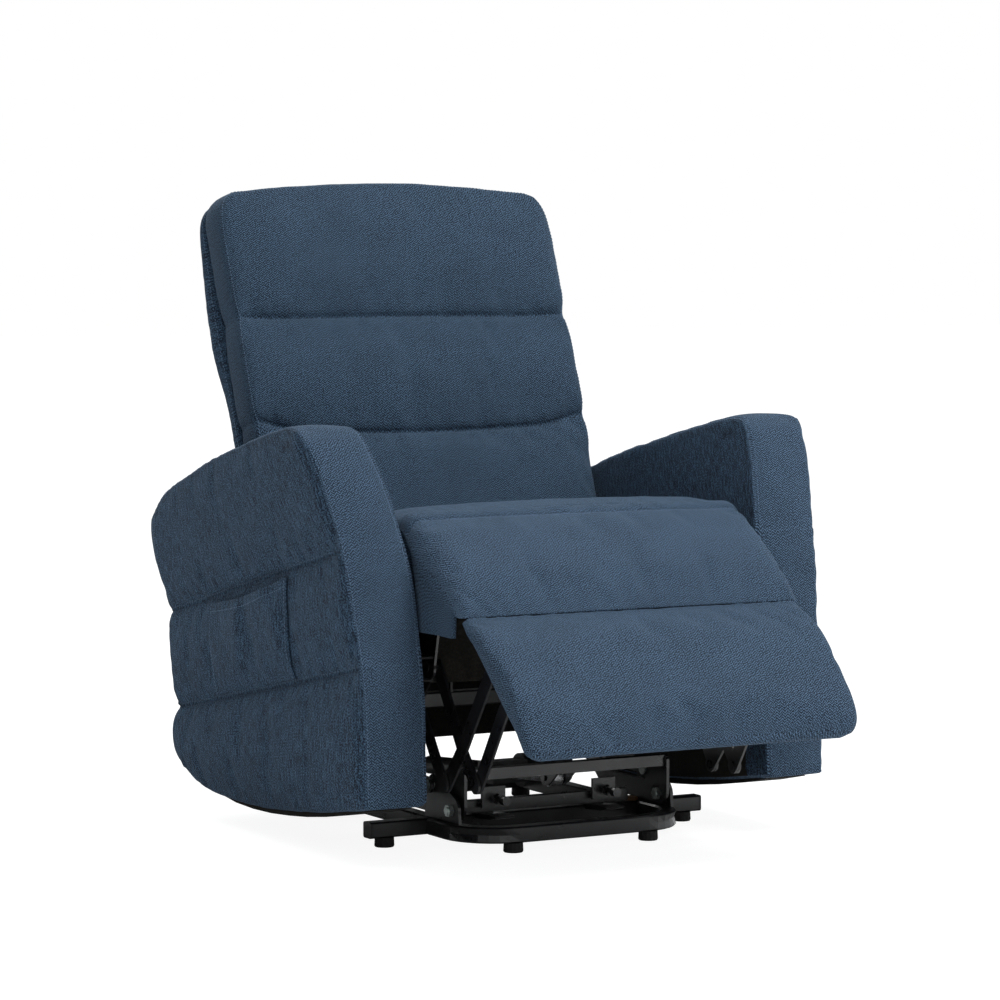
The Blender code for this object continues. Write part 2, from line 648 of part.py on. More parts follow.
def lift_motor():
    """Actuator housing: rear eye, spindle sleeve, gearbox and the motor across it."""
    d = actuator_axis()
    n = (-d[1], d[0])

    def at(distance, off=0.0, x=0.0):
        p = along(along(LIFT_PIN_REAR, d, distance), n, off)
        return (x, p[0], p[1])

    front = LIFT_GEARBOX_AT + 0.050
    sleeve = rod_between(at(0.010), at(LIFT_GEARBOX_AT + 0.005), SLEEVE_RADIUS, 20)
    eye = pin(LIFT_PIN_REAR, 0.012, -0.0155, 0.0155, 20)
    corners = [at(s, o)[1:] for s, o in ((LIFT_GEARBOX_AT, 0.018), (front, 0.018), (front, -0.018), (LIFT_GEARBOX_AT, -0.018))]
    gearbox = prism(corners, -0.024, 0.040)
    can = pin(at(LIFT_GEARBOX_AT + 0.025)[1:], MOTOR_CAN_RADIUS, 0.038, 0.038 + MOTOR_CAN_LENGTH, 24)
    bore = rod_between(at(0.120), at(front + 0.02), ROD_RADIUS + FIT, 20)
    eye_hole = pin(LIFT_PIN_REAR, PIVOT_PIN + FIT, -0.03, 0.03)
    return combined([gearbox, sleeve, can, eye], [bore, eye_hole])


def lift_rod():
    """Bright rod with an eye round the clevis pin; the eye has room, because it closes the linkage."""
    d = actuator_axis()
    tip = along(LIFT_PIN_FRONT, d, -0.010)
    tail = along(LIFT_PIN_REAR, d, 0.150)
    rod = rod_between((0, *tail), (0, *tip), ROD_RADIUS, 20)
    eye = pin(LIFT_PIN_FRONT, 0.0145, -0.0105, 0.0105, 20)
    hole = pin(LIFT_PIN_FRONT, PIVOT_PIN + LOOSE + 0.0012, -0.03, 0.03)
    return combined([rod, eye], [hole])


def build_lift(chair):
    chair.add_pair("lift_arm", "lift_arms", lift_arm(), "black_steel")
    chair.add("lift_bar", "lift_arms", lift_bar(), "black_steel")
    chair.add_pair("lift_stay", "lift_stays", lift_stay(), "black_steel")
    chair.add("lift_motor", "lift_motor", lift_motor(), "black_plastic")
    chair.add("lift_rod", "lift_rod", lift_rod(), "bright_steel")


# ---------------------------------------------------------------- chair frame
def carrier_plate():
    """Plate welded under the cross tube that hangs the chair on the lift arm and the stay."""
    top = CROSS_TUBE_LOW + 0.001
    outline = hull_outline([(PIVOT_D, 0.016), (PIVOT_E, 0.016), ((CROSS_TUBE_Y - 0.010, top - 0.012), 0.012),
                            ((CROSS_TUBE_Y + 0.035, top - 0.008), 0.008)])
    plate = prism(outline, RISER_X, RISER_X + PLATE)
    arm_pin = pin(PIVOT_D, PIVOT_PIN, ARM_PLATE_X - 0.004, RISER_X + 0.001)
    arm_head = pin(PIVOT_D, 0.010, ARM_PLATE_X - 0.0045, ARM_PLATE_X - 0.001)
    stay_pin = pin(PIVOT_E, PIVOT_PIN, RISER_X + 0.001, STAY_X + PLATE + 0.004)
    stay_head = pin(PIVOT_E, 0.012, STAY_X + PLATE + 0.001, STAY_X + PLATE + 0.0045)
    return combined([plate, arm_pin, arm_head, stay_pin, stay_head])


def frame_rail():
    """Channel on the arm's inner face that the seat's rollers run in, with a leg to the cross tube."""
    outer = ARM_INNER - GAP
    inner = outer - RAIL_DEPTH
    channel = box(inner, outer, RAIL_FRONT, RAIL_REAR, RAIL_LOW, RAIL_HIGH)
    room = box(inner - 0.01, outer - RAIL_WALL, RAIL_FRONT - 0.01, RAIL_REAR + 0.01,
               RAIL_LOW + RAIL_WALL, RAIL_HIGH - RAIL_WALL)
    leg = prism([(CROSS_TUBE_Y - 0.030, CROSS_TUBE_LOW), (CROSS_TUBE_Y + 0.055, CROSS_TUBE_LOW),
                 (CROSS_TUBE_Y + 0.090, RAIL_LOW + 0.001), (CROSS_TUBE_Y - 0.090, RAIL_LOW + 0.001)],
                outer - RAIL_WALL, outer)
    return combined([combined([channel], [room]), leg])


def frame_cross_tube():
    """Tube across the chair with both carrier plates and the recline motor's two ears."""
    half = ARM_INNER - GAP - RAIL_WALL - GAP
    mid_z = CROSS_TUBE_LOW + TUBE / 2
    tube = straight_tube((-half, CROSS_TUBE_Y, mid_z), (half, CROSS_TUBE_Y, mid_z))
    top = CROSS_TUBE_LOW + TUBE
    ears = []
    for side in (-1, 1):
        x = RECLINE_X + side * 0.0235
        ears.append(prism([(CROSS_TUBE_Y - 0.012, top - 0.001), (CROSS_TUBE_Y + 0.012, top - 0.001),
                           (CROSS_TUBE_Y + 0.008, RECLINE_AXIS_Z + 0.008), (CROSS_TUBE_Y - 0.008, RECLINE_AXIS_Z + 0.008)],
                          x - 0.002, x + 0.002))
    plate = carrier_plate()
    return combined([tube, plate, mirrored(plate)] + ears)


def recline_motor():
    """Actuator housing fixed between the cross tube's ears: sleeve, gearbox and motor."""
    z = RECLINE_AXIS_Z
    x = RECLINE_X
    sleeve = rod_between((x, 0.085, z), (x, 0.350, z), SLEEVE_RADIUS, 20)
    gearbox = box(x - 0.026, x + 0.030, 0.345, 0.400, z - 0.026, z + 0.026)
    can = pin((0.3725, z), MOTOR_CAN_RADIUS, x + 0.029, x + 0.029 + MOTOR_CAN_LENGTH, 24)
    collar = pin((CROSS_TUBE_Y, z), 0.006, x - 0.0215 + GAP, x + 0.0215 - GAP)
    bore = rod_between((x, 0.060, z), (x, 0.235, z), ROD_RADIUS + FIT, 20)
    return combined([sleeve, gearbox, can, collar], [bore])


def build_frame(chair):
    chair.add("frame_cross_tube", "chair_frame", frame_cross_tube(), "black_steel")
    chair.add_pair("frame_rail", "chair_frame", frame_rail(), "black_steel")
    chair.add("recline_motor", "chair_frame", recline_motor(), "black_plastic")


# ---------------------------------------------------------------- arms
def arm_inner(z):
    """Half the width between the arms: upright below, leaning out above the seat."""
    rise = max(0.0, (z - 0.36) / 0.29)
    return ARM_INNER + 0.044 * rise**1.7


def on_line(line, y):
    (y0, z0), (y1, z1) = line
    return z0 + (z1 - z0) * (y - y0) / (y1 - y0)


def upper_seam(y):
    return on_line(UPPER_SEAM, y)


def lower_seam(y):
    return on_line(LOWER_SEAM, y)


def arm_outer(y, z):
    """Outside of an arm: three puffed bands between the seams, leaning out towards the top."""
    lean = 0.041 * max(0.0, (z - 0.2) / 0.44) ** 2
    low, high = lower_seam(y), upper_seam(y)
    if z < low:
        t = (z - 0.04) / (low - 0.04)
    elif z < high:
        t = (z - low) / (high - low)
    else:
        t = (z - high) / (0.66 - high)
    t = min(max(t, 0.0), 1.0)
    return 0.399 + lean + ARM_PUFF * (1 - abs(2 * t - 1) ** 3)


def spaced(count, margin):
    """Parameters 0..1 with extra ones close to both ends."""
    inner = [lerp(margin * 2.5, 1 - margin * 2.5, i / count) for i in range(count + 1)]
    return [0.0, margin * 0.25, margin] + inner + [1 - margin, 1 - margin * 0.25, 1.0]


def patch(front, rear, bottom, top, us, vs):
    """Grid of side-view points inside four border curves; u runs front to rear, v upwards."""
    corners = bottom[0], bottom[-1], top[0], top[-1]
    rows = []
    for v in vs:
        f, r = curve_point(front, v), curve_point(rear, v)
        row = []
        for u in us:
            b, t = curve_point(bottom, u), curve_point(top, u)
            point = []
            for k in (0, 1):
                ruled = lerp(b[k], t[k], v) + lerp(f[k], r[k], u)
                point.append(ruled - lerp(lerp(corners[0][k], corners[1][k], u),
                                          lerp(corners[2][k], corners[3][k], u), v))
            row.append(tuple(point))
        rows.append(row)
    return rows


def edge_distance(point, border):
    """Distance from a side-view point to a closed border of points."""
    best = 1.0
    for p, q in zip(border, border[1:] + border[:1]):
        dy, dz = q[0] - p[0], q[1] - p[1]
        length = dy * dy + dz * dz
        t = ((point[0] - p[0]) * dy + (point[1] - p[1]) * dz) / length if length else 0.0
        t = min(max(t, 0.0), 1.0)
        best = min(best, math.dist(point, (p[0] + t * dy, p[1] + t * dz)))
    return best


def roundover(distance, radius):
    """How far a rounded edge lies below its face, at a distance in from the border."""
    if distance >= radius or radius == 0.0:
        return 0.0
    return radius - math.sqrt(radius**2 - (radius - distance) ** 2)


def slab(rows, inner_face, outer_face, inner_radius, outer_radius):
    """Closed pad between two faces given as x(y, z), over a grid, with rounded edges."""
    bottom, top = rows[0], rows[-1]
    border = bottom + [row[-1] for row in rows[1:-1]] + top[::-1] + [row[0] for row in rows[-2:0:-1]]
    bm = bmesh.new()
    grids = []
    for face, sign, radius in ((inner_face, 1, inner_radius), (outer_face, -1, outer_radius)):
        grid = []
        for row in rows:
            line = []
            for y, z in row:
                drop = roundover(edge_distance((y, z), border), radius)
                line.append(bm.verts.new((face(y, z) + sign * drop, y, z)))
            grid.append(line)
        grids.append(grid)
    for grid in grids:
        for a, b in zip(grid, grid[1:]):
            for i in range(len(a) - 1):
                bm.faces.new((a[i], a[i + 1], b[i + 1], b[i]))
    rims = []
    for grid in grids:
        rims.append(grid[0] + [line[-1] for line in grid[1:-1]] + grid[-1][::-1] + [line[0] for line in grid[-2:0:-1]])
    count = len(rims[0])
    for i in range(count):
        j = (i + 1) % count
        bm.faces.new((rims[0][i], rims[0][j], rims[1][j], rims[1][i]))
    return finish(bm, "slab")


def arm_columns():
    return spaced(9, 0.022)


def arm():
    levels = (ARM_BOTTOM, list(LOWER_SEAM), list(UPPER_SEAM), ARM_TOP)
    rows = []
    for k, vs in enumerate(ARM_ROWS):
        rows += patch(ARM_FRONT[k], ARM_REAR[k], levels[k], levels[k + 1], arm_columns(), vs)
    return slab(rows, lambda y, z: arm_inner(z), arm_outer, ARM_EDGE, ARM_EDGE)


def arm_board():
    """Thin black board under the arm's fabric."""
    upper = [curve_point(ARM_BOTTOM, u) for u in arm_columns() if 0.04 < u < 0.90]
    count = len(upper) - 1
    lower = []
    for i, (y, z) in enumerate(upper):
        taper = math.sin(math.pi * i / count) ** 0.5 if 0 < i < count else 0.0
        lower.append((y, z - GAP - 0.0015 - ARM_BOARD_DROP * taper))
    upper = [(y, z - GAP) for y, z in upper]
    return prism(upper + lower[::-1], 0.314, 0.388)


def pocket():
    """Sewn pocket on the outside of the sitter's right arm, open at the top."""
    def cover(y, z):
        """0 where the pocket is sewn down, at both ends and the bottom, and 1 over its room."""
        low = lower_seam(y) + 0.006
        end = min(y - POCKET_FRONT_Y, POCKET_REAR_Y - y) / 0.030
        foot_edge = (z - low) / 0.030
        t = min(max(min(end, foot_edge), 0.0), 1.0)
        return t * t * (3 - 2 * t)

    def inner(y, z):
        return arm_outer(y, z) + 0.0005 + POCKET_ROOM * cover(y, z)

    rows = []
    columns, lines = 12, 9
    for j in range(lines + 1):
        row = []
        for i in range(columns + 1):
            y = lerp(POCKET_FRONT_Y, POCKET_REAR_Y, i / columns)
            mouth = 0.012 * math.sin(math.pi * i / columns)
            low, high = lower_seam(y) + 0.006, upper_seam(y) - 0.004 - mouth
            row.append((y, lerp(low, high, j / lines)))
        rows.append(row)
    return mirrored(slab(rows, inner, lambda y, z: inner(y, z) + POCKET_WALL, 0.0, 0.0015))


def build_arms(chair):
    chair.add_pair("arm", "chair_frame", arm(), "fabric_blue", 60)
    chair.add_pair("arm_board", "chair_frame", arm_board(), "black_cloth")
    chair.add("side_pocket", "chair_frame", pocket(), "fabric_blue", 60)
    half = ARM_INNER - GAP
    panel = box(-half, half, REAR_PANEL_Y, REAR_PANEL_Y + REAR_PANEL, REAR_PANEL_LOW, REAR_PANEL_HIGH)
    chair.add("rear_panel", "chair_frame", panel, "black_cloth")


# ---------------------------------------------------------------- pads
def pad_section(half, low, high, power, crown, count):
    """Closed section across a pad, as (x, height): a soft-cornered box with a crowned upper face."""
    mid, rise = (low + high) / 2, (high - low) / 2
    points = []
    for i in range(count):
        a = 2 * math.pi * (i + 0.5) / count
        c, s = math.cos(a), math.sin(a)
        x = half * math.copysign(abs(c) ** (2 / power), c)
        h = mid + rise * math.copysign(abs(s) ** (2 / power), s)
        if s > 0:
            h += crown * (1 - (x / half) ** 2)
        points.append((x, h))
    return points


def pad(base, along_dir, up_dir, stations, power=7, count=24):
    """Loft of sections: each station is (distance, half width, low, high, crown, bow).

    The bow is how far the section's middle runs ahead of its ends.
    """
    rings = []
    for distance, half, low, high, crown, bow in stations:
        ring = []
        for x, h in pad_section(half, low, high, power, crown, count):
            y, z = along(base, along_dir, distance + bow * (1 - (x / half) ** 2))
            ring.append((x, y + up_dir[0] * h, z + up_dir[1] * h))
        rings.append(ring)
    return loft(rings)


def end_round(distance, length, corner):
    """Share of full size at a distance along a pad whose two ends are rounded."""
    d = min(distance, length - distance)
    if d >= corner:
        return 1.0
    return math.sqrt(max(0.0, 1 - (1 - d / corner) ** 2))


def slope(angle):
    """Unit direction and upward normal of a pad that falls towards the front by the angle."""
    return (-math.cos(angle), -math.sin(angle)), (-math.sin(angle), math.cos(angle))


# ---------------------------------------------------------------- seat
def seat_cushion():
    """Seat cushion: crowned on top, drawn in at the sides, its underside on the seat box."""
    length = SEAT_REAR_TOP[0] - SEAT_FRONT_TOP[0]
    soft = 0.030
    fractions = [0.0, 0.012, 0.04, 0.09, 0.2, 0.35, 0.5, 0.65, 0.8, 0.91, 0.96, 0.988, 1.0]
    rings = []
    for t in fractions:
        d = t * length
        y = SEAT_FRONT_TOP[0] + d
        fade = end_round(d, length, soft)
        drop = 0.005 if t < 0.5 else 0.018
        top = lerp(SEAT_FRONT_TOP[1], SEAT_REAR_TOP[1], t) - drop * (1 - fade)
        half = SEAT_HALF - 0.010 * (1 - fade)
        low = SEAT_BOX_HIGH + GAP
        section = pad_section(half, low, top, 9, SEAT_CROWN * fade, 24)
        rings.append([(x, y, h) for x, h in section])
    return loft(rings)


def seat_box():
    """Seat box: side, front and rear boards under a thin deck, open below."""
    outer = box(-SEAT_BOX_HALF, SEAT_BOX_HALF, SEAT_BOX_FRONT, SEAT_BOX_REAR, SEAT_BOX_LOW, SEAT_BOX_HIGH)
    room = box(-SEAT_BOX_HALF + BOARD, SEAT_BOX_HALF - BOARD, SEAT_BOX_FRONT + BOARD, SEAT_REAR_TOP[0],
               SEAT_BOX_LOW - 0.01, SEAT_BOX_HIGH - 0.008)
    behind = box(-SEAT_BOX_HALF + BOARD, SEAT_BOX_HALF - BOARD, SEAT_REAR_TOP[0] + BOARD, SEAT_BOX_REAR + 0.01,
                 SEAT_BOX_LOW - 0.01, SEAT_BOX_HIGH + 0.01)
    pivots = [pin(BACK_PIVOT, LINK_PIN, *sorted((s * (SEAT_BOX_HALF - 0.002), s * (SEAT_BOX_HALF + 0.006))))
              for s in (-1, 1)]
    return combined([combined([outer], [room, behind])] + pivots)


def seat_plate():
    """Mechanism plate under the seat box, with its top flange, link holes and the two rollers."""
    x0, x1 = SEAT_PLATE_X, SEAT_PLATE_X + SEAT_PLATE
    top = SEAT_BOX_LOW - GAP
    axle_z = (RAIL_LOW + RAIL_HIGH) / 2
    outline = [(ROLLER_REAR_Y + 0.030, top), (-0.135, top)]
    outline += arc(P1, 0.020, 170, 245, 5)
    outline += arc(P4, 0.018, 215, 300, 5)
    outline += [(DRIVE_TUBE[0] + 0.010, DRIVE_TUBE[1] - 0.022), (DRIVE_TUBE[0] + 0.040, 0.290),
                (ROLLER_REAR_Y - 0.020, axle_z - 0.012), (ROLLER_REAR_Y + 0.012, axle_z - 0.012),
                (ROLLER_REAR_Y + 0.030, axle_z + 0.006)]
    plate = prism(outline, x0, x1)
    flange = box(x0, SEAT_PLATE_X + 0.022, -0.130, ROLLER_REAR_Y + 0.030, top - 0.0035, top)
    parts = [plate, flange]
    for y in (ROLLER_FRONT_Y, ROLLER_REAR_Y):
        parts.append(pin((y, axle_z), 0.006, x0 + 0.001, SEAT_PLATE_X + 0.0235))
        parts.append(pin((y, axle_z), ROLLER_RADIUS, SEAT_PLATE_X + 0.023, SEAT_PLATE_X + 0.0475, 16))
    holes = [pin(p, LINK_PIN + FIT, x0 - 0.01, x1 + 0.01) for p in (P1, P4)]
    return combined(parts, holes)


def recline_rod():
    """Drive tube between the seat plates, with the rod that the recline motor pushes."""
    half = SEAT_PLATE_X - GAP
    tube = pin(DRIVE_TUBE, DRIVE_TUBE_RADIUS, -half, half, 20)
    eye = pin(DRIVE_TUBE, 0.019, RECLINE_X - 0.012, RECLINE_X + 0.012, 20)
    rod = rod_between((RECLINE_X, DRIVE_TUBE[0], RECLINE_AXIS_Z), (RECLINE_X, 0.180, RECLINE_AXIS_Z), ROD_RADIUS, 20)
    return combined([tube, eye, rod])


def front_flap():
    """Sloping pad from the seat's front edge, with a wing of fabric down each side."""
    direction = unit(FLAP_TOP, FLAP_END)
    normal = (direction[1], -direction[0])
    up = (-abs(normal[0]), abs(normal[1]))
    length = math.dist(FLAP_TOP, FLAP_END)
    stations = []
    for t in (0.0, 0.03, 0.09, 0.2, 0.35, 0.5, 0.65, 0.8, 0.92, 0.98, 1.0):
        d = t * length
        fade = end_round(d, length, 0.030)
        thick = lerp(FLAP_ROOT, FLAP_THICK, min(1.0, t / 0.25))
        if t > 0.55:
            thick = lerp(FLAP_THICK, FLAP_LIP, ((t - 0.55) / 0.45) ** 1.3)
        puff = FLAP_PUFF * (1 - abs(2 * t - 1) ** 3)
        half = FLAP_HALF - 0.004 * (1 - fade)
        stations.append((d, half, -thick + 0.004 * (1 - fade), puff * 0.75, puff * 0.25, 0.0))
    body = pad(FLAP_TOP, direction, up, stations, 6)
    wings = []
    side_top = [along(along(FLAP_TOP, direction, d), up, -0.018) for d in (0.015, 0.100)]
    end_z = FLAP_TOP[1] + (WING_FRONT_Y - FLAP_TOP[0]) * direction[1] / direction[0] - 0.012
    outline = [side_top[0], side_top[1], (WING_FRONT_Y, end_z), (WING_FRONT_Y, WING_LOW + 0.006),
               (WING_FRONT_Y + 0.006, WING_LOW), (-0.165, WING_LOW)]
    for side in (-1, 1):
        wings.append(prism(outline, *sorted((side * (FLAP_HALF - WING_WALL), side * (FLAP_HALF - 0.0005)))))
    y, z = FLAP_HINGE
    tongue = prism([(y - 0.012, z - 0.014), (y + 0.002, z - 0.012), (y + FLAP_REACH, z - 0.003),
                    (y + FLAP_REACH, z + 0.001), (y - 0.004, z + 0.004)], -FLAP_HALF + 0.030, FLAP_HALF - 0.030)
    return combined([body, tongue] + wings)


def build_seat(chair):
    chair.add("seat_cushion", "seat_unit", seat_cushion(), "fabric_blue", 60)
    chair.add("seat_box", "seat_unit", seat_box(), "black_board")
    chair.add_pair("seat_plate", "seat_unit", seat_plate(), "black_steel")
    chair.add("recline_rod", "seat_unit", recline_rod(), "bright_steel")
    chair.add("front_flap", "front_flap", front_flap(), "fabric_blue", 60)


# ---------------------------------------------------------------- footrest linkage
def layer(index):
    x = LINK_X + index * LINK_PITCH
    return x, x + LINK_THICK


def rivet(centre, x_from, x_to, head_low=False, head_high=False, radius=LINK_PIN):
    """Rivet through the layers, with a flat head at the ends asked for."""
    parts = [pin(centre, radius, x_from, x_to)]
    if head_low:
        parts.append(pin(centre, radius + 0.003, x_from - 0.0018, x_from + 0.0002))
    if head_high:
        parts.append(pin(centre, radius + 0.003, x_to - 0.0002, x_to + 0.0018))
    return parts


def bar_link(points, index, holes, rivets):
    """Flat link through its pivots on one layer; holes are (point, clearance)."""
    x0, x1 = layer(index)
    plate = prism(band_outline(points, LINK_WIDTH / 2), x0, x1)
    cutters = [pin(p, LINK_PIN + clearance, x0 - 0.01, x1 + 0.01) for p, clearance in holes]
    return combined([combined([plate], cutters)] + rivets) if cutters else combined([plate] + rivets)


def build_linkage(chair):
    front_x, cross_x, rear_x = layer(1), layer(2), layer(3)
    ottoman_x = layer(0)
    seat_out = SEAT_PLATE_X + SEAT_PLATE
    overlap = 0.001

    front_pins = rivet(P1, front_x[1] - overlap, seat_out + 0.001, head_high=True)
    front_pins += rivet(C, front_x[1] - overlap, cross_x[1] + 0.0005, head_high=False)
    front_pins += rivet(K1, ottoman_x[0] - 0.001, front_x[0] + overlap, head_low=True)
    front = bar_link([P1, C, K1], 1, [], front_pins)

    rear_pins = rivet(P4, rear_x[1] - overlap, seat_out + 0.001, head_high=True)
    rear_pins += rivet(K2, cross_x[0] - 0.0005, rear_x[0] + overlap)
    rear = bar_link([P4, K2], 3, [], rear_pins)

    cross = bar_link([K2, C, F2], 2, [(K2, 0.0016), (C, FIT), (F2, FIT)], [])
    ottoman = bar_link([K1, F3], 0, [(K1, FIT), (F3, LOOSE)], [])

    chair.add_pair("front_link", "front_links", front, "black_steel")
    chair.add_pair("rear_link", "rear_links", rear, "black_steel")
    chair.add_pair("cross_link", "cross_links", cross, "black_steel")
    chair.add_pair("ottoman_link", "ottoman_links", ottoman, "black_steel")


# ---------------------------------------------------------------- footrest
def footrest_pad():
    """Footrest pad: puffed face, drawn-in top edge, round lower corners, wrapped round its board."""
    direction, up = slope(PAD_SLOPE)
    stations = []
    for t in (0.0, 0.015, 0.05, 0.11, 0.2, 0.35, 0.5, 0.65, 0.8, 0.9, 0.955, 0.985, 1.0):
        d = t * PAD_LENGTH
        fade = end_round(d, PAD_LENGTH, PAD_CORNER)
        half = lerp(PAD_HALF_TOP, PAD_HALF_BOTTOM, t) + PAD_BULGE * math.sin(math.pi * t)
        lower_end = t > 0.5
        half -= (0.020 if lower_end else 0.005) * (1 - fade)
        back = PAD_BACK - (0.010 if lower_end else 0.004) * (1 - fade)
        rise = 1 - (1 - min(1.0, t / 0.45)) ** 2.4
        if t > 0.72:
            rise *= 1 - 0.75 * ((t - 0.72) / 0.28) ** 2.2
        puff = PAD_PUFF * rise
        stations.append((d, half, -back, puff * 0.8, puff * 0.2, 0.0))
    body = pad(PAD_TOP, direction, up, stations, 5)
    return combined([body], [board_block(0.0006)])


def board_block(room):
    """The board's own box, or with room the pocket it lies in."""
    direction, up = slope(PAD_SLOPE)
    bottom = PAD_BACK + (0.02 if room else -0.0006)
    top = PAD_BACK - FOOT_BOARD - room
    ends = (0.050 - room, PAD_LENGTH - FOOT_BOARD_RIM + room)
    corners = [along(along(PAD_TOP, direction, s), up, -n)
               for s, n in ((ends[0], top), (ends[1], top), (ends[1], bottom), (ends[0], bottom))]
    half = PAD_HALF_BOTTOM - FOOT_BOARD_RIM + room
    return prism(corners, -half, half)


def footrest_board():
    """Board behind the pad."""
    return board_block(0.0)


def footrest_bracket():
    """Angle bracket on the board that carries the cross link and the ottoman link."""
    direction, up = slope(PAD_SLOPE)
    x0, x1 = layer(1)
    base = PAD_BACK - 0.0006 + GAP

    def spot(s, n):
        return along(along(PAD_TOP, direction, s), up, -n)

    tall = base + BRACKET_DEPTH
    foot_line = [spot(0.052, base), spot(0.120, base), spot(0.120, base + 0.006), spot(0.096, tall - 0.003),
                 spot(0.090, tall), spot(0.030, tall), spot(0.018, tall - 0.010), spot(0.018, base + 0.006)]
    plate = prism(foot_line, x0, x1)
    flange_side = [spot(0.054, base), spot(0.118, base), spot(0.118, base + BRACKET_WALL), spot(0.054, base + BRACKET_WALL)]
    flange = prism(flange_side, x0 - 0.024, x0 + 0.001)
    cross_x, ottoman_x = layer(2), layer(0)
    pins = rivet(F2, x1 - 0.001, cross_x[1] + 0.001, head_high=True)
    pins += rivet(F3, ottoman_x[0] - 0.001, x0 + 0.001, head_low=True, radius=LINK_PIN)
    return combined([plate, flange] + pins)


def build_footrest(chair):
    chair.add("footrest_pad", "footrest", footrest_pad(), "fabric_blue", 60)
    chair.add("footrest_board", "footrest", footrest_board(), "black_board")
    chair.add_pair("footrest_bracket", "footrest", footrest_bracket(), "black_steel")


# ---------------------------------------------------------------- back
def back_directions():
    lean = BACK_LEAN
    return (math.sin(lean), math.cos(lean)), (-math.cos(lean), math.sin(lean))


def back_half(distance):
    t = min(max((distance - BACK_NARROW) / 0.080, 0.0), 1.0)
    return lerp(BACK_HALF_LOW, BACK_HALF_HIGH, t * t * (3 - 2 * t))


def back_bow(distance):
    edges = (0.0,) + BACK_SEAMS + (BACK_LENGTH,)
    for low, high, a, b in zip(edges, edges[1:], BACK_BOWS, BACK_BOWS[1:]):
        if distance <= high:
            return lerp(a, b, (distance - low) / (high - low))
    return BACK_BOWS[-1]


def back_cushion():
    """Back cushion with three puffed rolls between sewn channels, and round top corners."""
    direction, front = back_directions()
    edges = (0.0,) + BACK_SEAMS + (BACK_LENGTH,)
    distances = []
    for low, high in zip(edges, edges[1:]):
        distances += [lerp(low, high, t) for t in (0.0, 0.05, 0.15, 0.32, 0.5, 0.68, 0.85, 0.95)]
    distances.append(BACK_LENGTH)
    distances.insert(-1, BACK_LENGTH - 0.003)
    stations = []
    for d in distances:
        low = max(e for e in edges if e <= d + 1e-9)
        high = min(e for e in edges if e > d + 1e-9) if d < BACK_LENGTH else BACK_LENGTH
        t = (d - low) / (high - low) if high > low else 1.0
        groove = SEAM_DEPTH * abs(2 * t - 1) ** 5
        if high == BACK_LENGTH and t > 0.5:
            groove *= 0.6
        from_top = BACK_LENGTH - d
        corner = 0.0 if from_top >= BACK_CORNER else BACK_CORNER - math.sqrt(
            max(0.0, BACK_CORNER**2 - (BACK_CORNER - from_top) ** 2))
        half = back_half(d) - corner * 0.9
        if from_top > BACK_CORNER:
            half -= BACK_SIDE_DRAW * abs(2 * t - 1) ** 5
        stations.append((d, half, -BACK_CUSHION, 0.006 - groove, BACK_CROWN, back_bow(d)))
    return pad(BACK_BASE, direction, front, stations, 6)


def back_shell():
    """Padded back shell behind the cushion, with the two brackets down to the seat's pivots."""
    direction, front = back_directions()
    stations = []
    for t in (0.0, 0.02, 0.06, 0.15, 0.35, 0.6, 0.8, 0.9, 0.95, 0.975, 0.99, 1.0):
        d = t * BACK_LENGTH
        from_top = BACK_LENGTH - d
        corner = 0.0 if from_top >= BACK_CORNER else BACK_CORNER - math.sqrt(
            max(0.0, BACK_CORNER**2 - (BACK_CORNER - from_top) ** 2))
        thick = lerp(BACK_SHELL_LOW, BACK_SHELL_HIGH, t)
        fade = end_round(d, BACK_LENGTH, 0.030)
        start = -BACK_CUSHION - GAP
        swings = 1 - min(max((d - BACK_NARROW) / 0.080, 0.0), 1.0)
        half = back_half(d) - 0.001 - BACK_SHELL_INSET * swings - corner * 0.9
        stations.append((d, half, start - thick * (0.55 + 0.45 * fade), start, 0.0, back_bow(d)))
    body = pad(BACK_BASE, direction, front, stations, 8, 16)
    near = along(along(BACK_BASE, direction, 0.055), front, -BACK_CUSHION - 0.008)
    far = along(along(BACK_BASE, direction, 0.055), front, -BACK_CUSHION - 0.020)
    outline = hull_outline([(BACK_PIVOT, 0.014), (near, 0.006), (far, 0.006)], 16)
    arms = []
    for side in (-1, 1):
        arms.append(prism(outline, *sorted((side * (SEAT_BOX_HALF + 0.0010), side * (SEAT_BOX_HALF + 0.0050)))))
    holes = [pin(BACK_PIVOT, LINK_PIN + FIT, -0.35, 0.35)]
    return combined([body] + arms, holes)


def build_back(chair):
    chair.add("back_cushion", "backrest", back_cushion(), "fabric_blue", 60)
    chair.add("back_shell", "backrest", back_shell(), "fabric_blue", 60)


def main():
    for obj in list(bpy.data.objects):
        bpy.data.objects.remove(obj)
    chair = Chair()
    build_base(chair)
    build_lift(chair)
    build_frame(chair)
    build_arms(chair)
    build_seat(chair)
    build_linkage(chair)
    build_footrest(chair)
    build_back(chair)


main()
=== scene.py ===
"""Lift recliner chair: upholstery, linings, threads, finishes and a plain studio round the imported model.

Metres, +Z up, the sitter faces -Y and +X is the sitter's left. Side-view points are (y, z) pairs measured
from the outrigger tube's line on the floor, and MID_Y carries them to the model's own middle.
"""

import json
import math

import bmesh
import bpy
import numpy as np
from mathutils import Matrix, Vector, bvhtree, kdtree, noise


